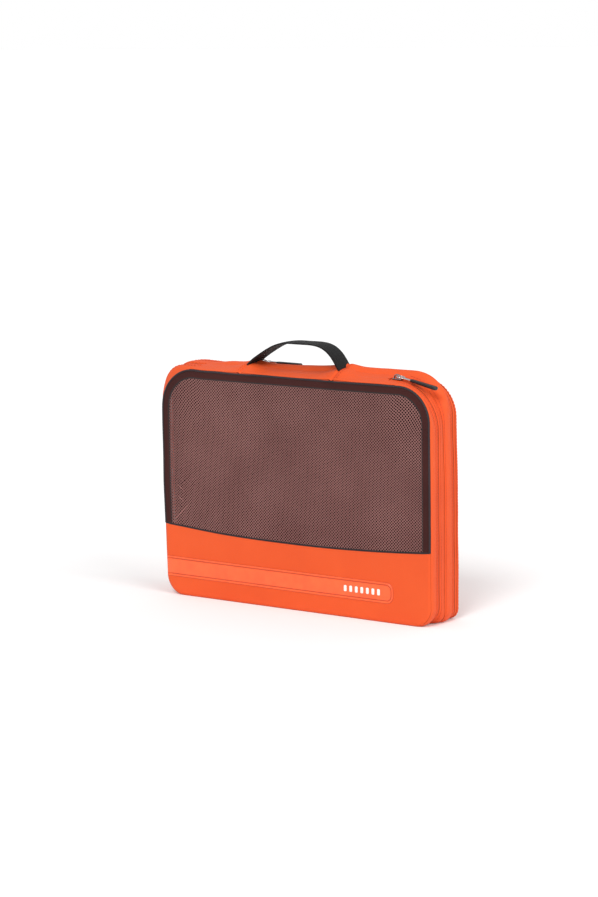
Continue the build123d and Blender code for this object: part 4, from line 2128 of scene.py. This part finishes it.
    def draw_thread(self, bm: Mesh) -> None:
        """Draw a thread of unit length along X, in short parts so that it can bend.

        Args:
            bm: The mesh.
        """
        bmesh.ops.create_circle(bm, segments=4, radius=1.0, matrix=Matrix.Rotation(math.pi / 2.0, 4, "Y"))
        size = (1.0, self.thread_width / 2.0, self.thread_thickness / 2.0)
        bmesh.ops.scale(bm, vec=size, verts=bm.verts)
        edges = bm.edges[:]
        bmesh.ops.contextual_create(bm, geom=edges)
        for _ in range(self.thread_parts):
            edges = extrude_rim(bm, edges, Matrix.Translation((1.0 / self.thread_parts, 0.0, 0.0)))
        bmesh.ops.contextual_create(bm, geom=edges)
        bmesh.ops.recalc_face_normals(bm, faces=bm.faces[:])

    def make_mesh(self) -> None:
        """The window's mesh: two families of slanting threads, each cut off under the hem."""
        shop, form = self.shop, self.shop.form
        thread = Stamp("mesh_thread", self.draw_thread)
        bm = bmesh.new()
        middle = Vector((0.0, self.line.seam, form.height / 2.0))
        reach = int(form.half_width + form.height / 2.0)
        rows = int(reach / self.thread_pitch)
        for lean in (-1.0, 1.0):
            along = Vector((1.0, 0.0, lean)).normalized()
            across = Vector((-lean, 0.0, 1.0)).normalized()
            for index in range(-rows, rows + 1):
                start = middle + across * (index * self.thread_pitch)
                inside = [t for t in range(-reach, reach + 1) if self.in_window(*(start + along * t).xz)]
                if len(inside) < 3:
                    continue
                near = start + along * inside[0] + Vector((0.0, 0.13 * lean, 0.0))
                place = place_on(near, along, Vector((0, -1, 0)))
                thread.press(bm, place @ Matrix.Diagonal((float(inside[-1] - inside[0]), 1.0, 1.0, 1.0)))
        reshape(bm, lambda co: self.on_face(co, 0.75))
        mesh = shop.piece("mesh_window", bm, Slot.MESH, Body.FRONT_LID, ["mesh_window"], crease=80.0)

    def make_piping(self) -> None:
        """The near-black piping round the hem."""
        shop, form = self.shop, self.shop.form
        start = form.around(form.half_width, self.edge_end + 1.0) - form.perimeter
        end = form.around(-form.half_width, self.edge_end + 1.0)
        count = int((end - start) / 4.0)
        path = []
        for index in range(count + 1):
            plain = form.point(start + (end - start) * index / count)
            _, out = form.nearest(plain.x, plain.z)
            plain -= out * 0.95
            plain.y = self.line.seam - 0.75
            path.append(form.settle_sheet(plain, self.line.seam, 0.0, 0.0))
        bm = bmesh.new()
        sweep(bm, path, 2.0, 2.1, lambda c: Vector((0, -1, 0)), sides=10)
        shop.piece("mesh_piping", bm, Slot.PIPING, Body.FRONT_LID, ["mesh_piping"])

    def make_edge_binding(self) -> None:
        """The narrow binding along the mesh's bottom edge."""
        shop, form = self.shop, self.shop.form
        half = form.half_width - 1.2
        count = 48
        path = []
        for index in range(count + 1):
            x = -half + 2.0 * half * index / count
            plain = Vector((x, self.line.seam, self.mesh_edge(x) + 1.1))
            path.append(self.on_face(plain, 1.2))
        bm = bmesh.new()
        sweep(bm, path, 2.0, 1.3, lambda c: Vector((0, -1, 0)), sides=8)
        shop.piece("mesh_edge_binding", bm, Slot.BINDING, Body.FRONT_LID, ["mesh_edge_binding"])


# ------------------------------------------------------------------ handle


@dataclass
class Handle:
    """The webbing handle: a free arch that bends at its sewn ends, and the tails inside."""

    shop: Workshop
    base: float = 257.0
    rise: float = 24.0
    width: float = 24.0
    thickness: float = 1.6
    tail: float = 16.0
    sink: float = 6.0

    def build(self) -> None:
        """Make the strap and its tails."""
        self.make_strap()
        self.make_tails()

    @property
    def half(self) -> float:
        """Half the distance between the seams that hold the strap."""
        return (self.shop.form.handle_right - self.shop.form.handle_left) / 2.0

    @property
    def radius(self) -> float:
        """Radius of the arc that the arch is drawn on."""
        return (self.half * self.half + self.rise * self.rise) / (2.0 * self.rise)

    @property
    def length(self) -> float:
        """Length of the free arch."""
        return 2.0 * self.radius * math.asin(self.half / self.radius)

    def arch_point(self, distance: float) -> tuple[Vector, Vector]:
        """Point of the strap's inner face and the way outwards there.

        Args:
            distance: Distance along the strap from its left seam, below 0 or past its length inside the case.

        Returns:
            The point in X and Z, and the outward direction.
        """
        form, radius = self.shop.form, self.radius
        middle = (form.handle_right + form.handle_left) / 2.0
        on_arch = clamp(distance, 0.0, self.length)
        turn = (on_arch - self.length / 2.0) / radius
        out = Vector((math.sin(turn), 0.0, math.cos(turn)))
        share = turn / math.asin(self.half / radius)
        fuller = 1.9 * (1.0 - share * share) + 2.6 * math.sin(math.pi * share) ** 2 * (0.7 + 2.0 * share)
        fuller += 5.0 * max(share, 0.0) ** 2 * (1.0 - share * share)
        spot = Vector((middle, 0.0, self.base + self.rise - radius)) + out * (radius + fuller)
        beyond = distance - on_arch
        steep = clamp(abs(beyond) / 4.0, 0.0, 1.0) * 0.7
        dive = abs(turn) + steep
        down = Vector((math.cos(dive) * math.copysign(1.0, beyond), 0.0, -math.sin(dive)))
        return spot + down * abs(beyond), out

    def make_strap(self) -> None:
        """The strap, drawn bent where it comes out of the seams; it rides on no body."""
        total = self.length + 2.0 * self.sink
        bm = bmesh.new()
        bmesh.ops.create_grid(bm, x_segments=64, y_segments=14, size=1.0)
        bmesh.ops.scale(bm, vec=(total / 2.0, self.width / 2.0, 1.0), verts=bm.verts)
        lay_uv(bm, lambda co: (co.x, co.y))

        def curve(co: Vector) -> Vector:
            """Place on the arch of a point of the flat strap.

            Args:
                co: The point of the flat strap.

            Returns:
                The point on the strap's outer face.
            """
            spot, out = self.arch_point(co.x + total / 2.0 - self.sink)
            cup = 0.5 * (co.y / (self.width / 2.0)) ** 2
            return Vector((0.0, co.y, 0.0)) + spot + out * (self.thickness - cup)

        reshape(bm, curve)
        thicken(bm, self.thickness)
        round_off(bm, rim_edges(bm), 0.45, 3, "EDGES")
        strap = self.shop.piece("handle_strap", bm, Slot.WEBBING, None, ["handle_webbing"])
        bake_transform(strap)

    def make_tails(self) -> None:
        """The tails of the webbing, sewn flat under the top."""
        shop, form = self.shop, self.shop.form
        bm = bmesh.new()
        for seam, side in ((form.handle_left, -1.0), (form.handle_right, 1.0)):
            made = bmesh.ops.create_grid(bm, x_segments=8, y_segments=10, size=1.0)["verts"]
            bmesh.ops.scale(bm, vec=(self.tail / 2.0, self.width / 2.0, 1.0), verts=made)
            middle = seam + side * self.tail / 2.0
            bmesh.ops.translate(bm, vec=(middle, 0.0, form.height), verts=made)
        lay_uv(bm, lambda co: (co.x, co.y))
        reshape(bm, lambda co: form.settle(co) - Vector((0.0, 0.0, 1.7)))
        thicken(bm, self.thickness)
        shop.piece("handle_tails", bm, Slot.WEBBING, Body.CASE, ["handle_sewn_ends"])


# ------------------------------------------------------------------ sliders


@dataclass
class SliderSet:
    """One zip's slider, its ring and its rubber tab, drawn along the zip and then put in place."""

    shop: Workshop
    side: str
    droop: float
    axis_height: float = 4.0
    length: float = 11.5
    width: float = 8.0
    wing: float = 1.0
    ring_outer: float = 5.1
    ring_inner: float = 3.25
    ring_thickness: float = 1.5
    shank_width: float = 3.2
    shank_length: float = 12.0
    tab_length: float = 33.0
    tab_width: float = 6.8
    tab_thickness: float = 3.5
    tab_overlap: float = 4.0

    @property
    def axis(self) -> Vector:
        """Where the ring hangs."""
        return joint_place(f"{self.side}_puller_swing")

    @property
    def reach(self) -> float:
        """Distance of the ring's middle from the axis."""
        return (self.ring_outer + self.ring_inner) / 2.0

    @property
    def shank_start(self) -> float:
        """Distance of the shank's visible start from the axis."""
        return self.reach + self.ring_inner + 0.6

    def build(self) -> None:
        """Make the slider, the ring with its shank, and the tab."""
        self.make_body()
        self.make_ring()
        self.make_tab()

    def hang(self, bm: Mesh) -> None:
        """Droop a piece that is drawn from the axis along X, and put it on the slider."""
        turn = Matrix.Rotation(math.radians(self.droop), 4, "Y")
        bmesh.ops.transform(bm, matrix=Matrix.Translation(self.axis) @ turn, verts=bm.verts)

    def make_body(self) -> None:
        """The slider: two wings, a thin neck between them and an arched crown."""
        bm = bmesh.new()
        wing = Stamp("wing", self.draw_wing)
        top = 0.7 + self.wing / 2.0 - self.axis_height
        bottom = -3.4 - self.axis_height
        wing.press(bm, Matrix.Translation((0.0, 0.0, top)))
        wing.press(bm, Matrix.Translation((0.0, 0.0, bottom)))
        neck = Stamp("neck", lambda part: rounded_plate(part, 3.0, 0.45, top - bottom, 0.2, 0.05))
        neck.press(bm, Matrix.Translation((2.2, 0.0, (top + bottom) / 2.0)))
        turns = [math.pi * index / 16.0 for index in range(17)]
        path = [Vector((-3.7 * math.cos(t), 0.0, top + 0.2 + 4.1 * math.sin(t) ** 0.55)) for t in turns]
        sweep(bm, path, 2.2, 1.0, lambda c: (c - Vector((0.0, 0.0, top - 1.0))).normalized(), sides=12)
        bmesh.ops.translate(bm, vec=self.axis, verts=bm.verts)
        name = f"{self.side}_slider_body"
        body = self.shop.piece(name, bm, Slot.METAL, Body(f"{self.side}_slider"), [name])
        body.data.materials[0] = self.shop.wardrobe.dark_metal

    def draw_wing(self, bm: Mesh) -> None:
        """Draw a wing that narrows towards the closed end.

        Args:
            bm: The mesh.
        """
        rounded_plate(bm, self.length, self.width, self.wing, 1.6, 0.35)
        for vert in bm.verts:
            vert.co.y *= 1.0 - 0.4 * smooth((-vert.co.x - 0.5) / (self.length / 2.0))

    def make_ring(self) -> None:
        """The ring and the flat shank that holds the tab."""
        bm = bmesh.new()
        start = Matrix.Translation((self.reach, 0.0, 0.0)) @ Matrix.Rotation(math.pi / 2.0, 4, "X")
        tube = (self.ring_outer - self.ring_inner) / 2.0
        section = bmesh.ops.create_circle(bm, segments=14, radius=tube, matrix=start)["verts"]
        bmesh.ops.scale(bm, vec=(1.0, 1.0, self.ring_thickness / 2.0 / tube), verts=section)
        whole = 2.0 * math.pi
        geometry = section + list({e for v in section for e in v.link_edges})
        bmesh.ops.spin(
            bm, geom=geometry, cent=(0, 0, 0), axis=(0, 0, 1), angle=whole, steps=40, use_merge=True
        )
        bmesh.ops.translate(bm, vec=(self.reach, 0.0, 0.0), verts=bm.verts)
        size = (self.shank_length + 0.8, self.shank_width, self.ring_thickness)
        shank = Stamp("shank", lambda part: rounded_plate(part, *size, 0.7, 0.35))
        shank.press(bm, Matrix.Translation((self.shank_start + self.shank_length / 2.0, 0.0, 0.0)))
        self.hang(bm)
        name = f"{self.side}_pull_ring"
        self.shop.piece(name, bm, Slot.METAL, Body(f"{self.side}_puller"), [name])

    def make_tab(self) -> None:
        """The rubber tab, with a shallow oval recess on each face."""
        bm = bmesh.new()
        rounded_plate(bm, self.tab_length, self.tab_width, self.tab_thickness, self.tab_width * 0.45, 1.15)
        bm.normal_update()
        for side in (-1.0, 1.0):
            face = max(bm.faces, key=lambda f: f.normal.z * side * f.calc_area())
            bmesh.ops.inset_region(bm, faces=[face], thickness=0.35, use_even_offset=True)
            bmesh.ops.translate(bm, vec=(0.0, 0.0, -0.3 * side), verts=face.verts)
        for vert in bm.verts:
            share = (vert.co.x + self.tab_length / 2.0) / self.tab_length
            vert.co.y *= 0.74 + 0.26 * smooth(share * 1.6)
            vert.co.z *= 0.8 + 0.2 * smooth(share * 2.0)
        start = self.shank_start + self.shank_length - self.tab_overlap
        bmesh.ops.translate(bm, vec=(start + self.tab_length / 2.0, 0.0, 0.0), verts=bm.verts)
        self.hang(bm)
        name = f"{self.side}_pull_tab"
        self.shop.piece(name, bm, Slot.RUBBER, Body(f"{self.side}_puller"), [name])


# ------------------------------------------------------------------ studio


@dataclass(frozen=True)
class Studio:
    """Pale floor, soft light and the camera."""

    azimuth: float = 34.6
    elevation: float = 9.1
    roll: float = -0.76
    distance: float = 2.87
    lens: float = 108.36
    target: tuple[float, float, float] = (0.0, 0.0, 0.130)
    aside: float = -0.009
    above: float = 0.040
    ambient: float = 0.62
    key: float = 1.5
    fill: float = 1.35
    floor_reach: float = 40.0

    def build(self) -> None:
        """Set up the floor, the light and the camera."""
        self.make_floor()
        self.make_world()
        self.make_sun("key_light", self.key, turn=(46.0, 0.0, 12.0), spread=24.0)
        self.make_sun("side_light", self.fill, turn=(58.0, 0.0, 78.0), spread=40.0)
        self.make_camera()

    def make_floor(self) -> None:
        """Wide pale floor with a faint cloudiness."""
        bm = bmesh.new()
        bmesh.ops.create_grid(bm, x_segments=1, y_segments=1, size=self.floor_reach)
        mesh = bpy.data.meshes.new("floor")
        bm.to_mesh(mesh)
        bm.free()
        floor = bpy.data.objects.new("floor", mesh)
        bpy.context.scene.collection.objects.link(floor)
        material, tree, shader = new_material("floor_paint")
        where = tree.add("ShaderNodeTexCoord").outputs["Object"]
        cloud = tree.add("ShaderNodeTexNoise", {"Vector": where, "Scale": 3.0}).outputs["Fac"]
        colour = tree.mix(cloud, (0.93, 0.93, 0.93, 1.0), (0.95, 0.95, 0.95, 1.0))
        tree.fill(shader, {"Base Color": colour, "Roughness": 0.9, "Specular IOR Level": 0.1})
        mesh.materials.append(material)

    def make_world(self) -> None:
        """Even white surroundings."""
        world = bpy.data.worlds.new("studio")
        world.use_nodes = True
        background = world.node_tree.nodes["Background"]
        background.inputs["Color"].default_value = (1.0, 1.0, 1.0, 1.0)
        tree = Tree(world.node_tree)
        seen = tree.add("ShaderNodeLightPath").outputs["Is Camera Ray"]
        world.node_tree.links.new(tree.blend_value(seen, self.ambient, 1.0), background.inputs["Strength"])
        bpy.context.scene.world = world
        bpy.context.scene.view_settings.view_transform = "Standard"

    def make_sun(self, name: str, power: float, turn: tuple[float, float, float], spread: float) -> None:
        """Add one broad light.

        Args:
            name: The light's name.
            power: Its strength.
            turn: Its turns in degrees.
            spread: Its width in degrees.
        """
        light = bpy.data.lights.new(name, "SUN")
        light.energy = power
        light.angle = math.radians(spread)
        lamp = bpy.data.objects.new(name, light)
        lamp.rotation_euler = [math.radians(angle) for angle in turn]
        bpy.context.scene.collection.objects.link(lamp)

    def make_camera(self) -> None:
        """Long lens, a little above the top, from the front right."""
        around, high, roll = (math.radians(a) for a in (self.azimuth, self.elevation, self.roll))
        level = Vector((math.sin(around), -math.cos(around), 0.0))
        back = level * math.cos(high) + Vector((0.0, 0.0, math.sin(high)))
        right = Vector((math.cos(around), math.sin(around), 0.0))
        up = back.cross(right)
        place = Vector(self.target) + right * self.aside + up * self.above + back * self.distance
        rolled_right = right * math.cos(roll) + up * math.sin(roll)
        rolled_up = up * math.cos(roll) - right * math.sin(roll)
        data = bpy.data.cameras.new("camera")
        data.lens = self.lens
        data.sensor_width = 36.0
        camera = bpy.data.objects.new("camera", data)
        turn = Matrix((rolled_right, rolled_up, back)).transposed().to_4x4()
        camera.matrix_world = Matrix.Translation(place) @ turn
        bpy.context.scene.collection.objects.link(camera)
        bpy.context.scene.camera = camera


def main() -> None:
    """Build the packing cube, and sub-assembly by sub-assembly."""
    logging.basicConfig(level=logging.INFO, format="%(name)s: %(message)s")
    Studio().build()
    shop = Workshop.open()
    CaseShell(shop).build()
    FrontLid(shop, shop.zips[Body.FRONT_LID]).build()
    RearLid(shop, shop.zips[Body.REAR_LID]).build()
    Handle(shop).build()
    SliderSet(shop, "front", 12.0).build()
    SliderSet(shop, "rear", 1.0, tab_thickness=2.3).build()


if __name__ == "__main__":
    main()
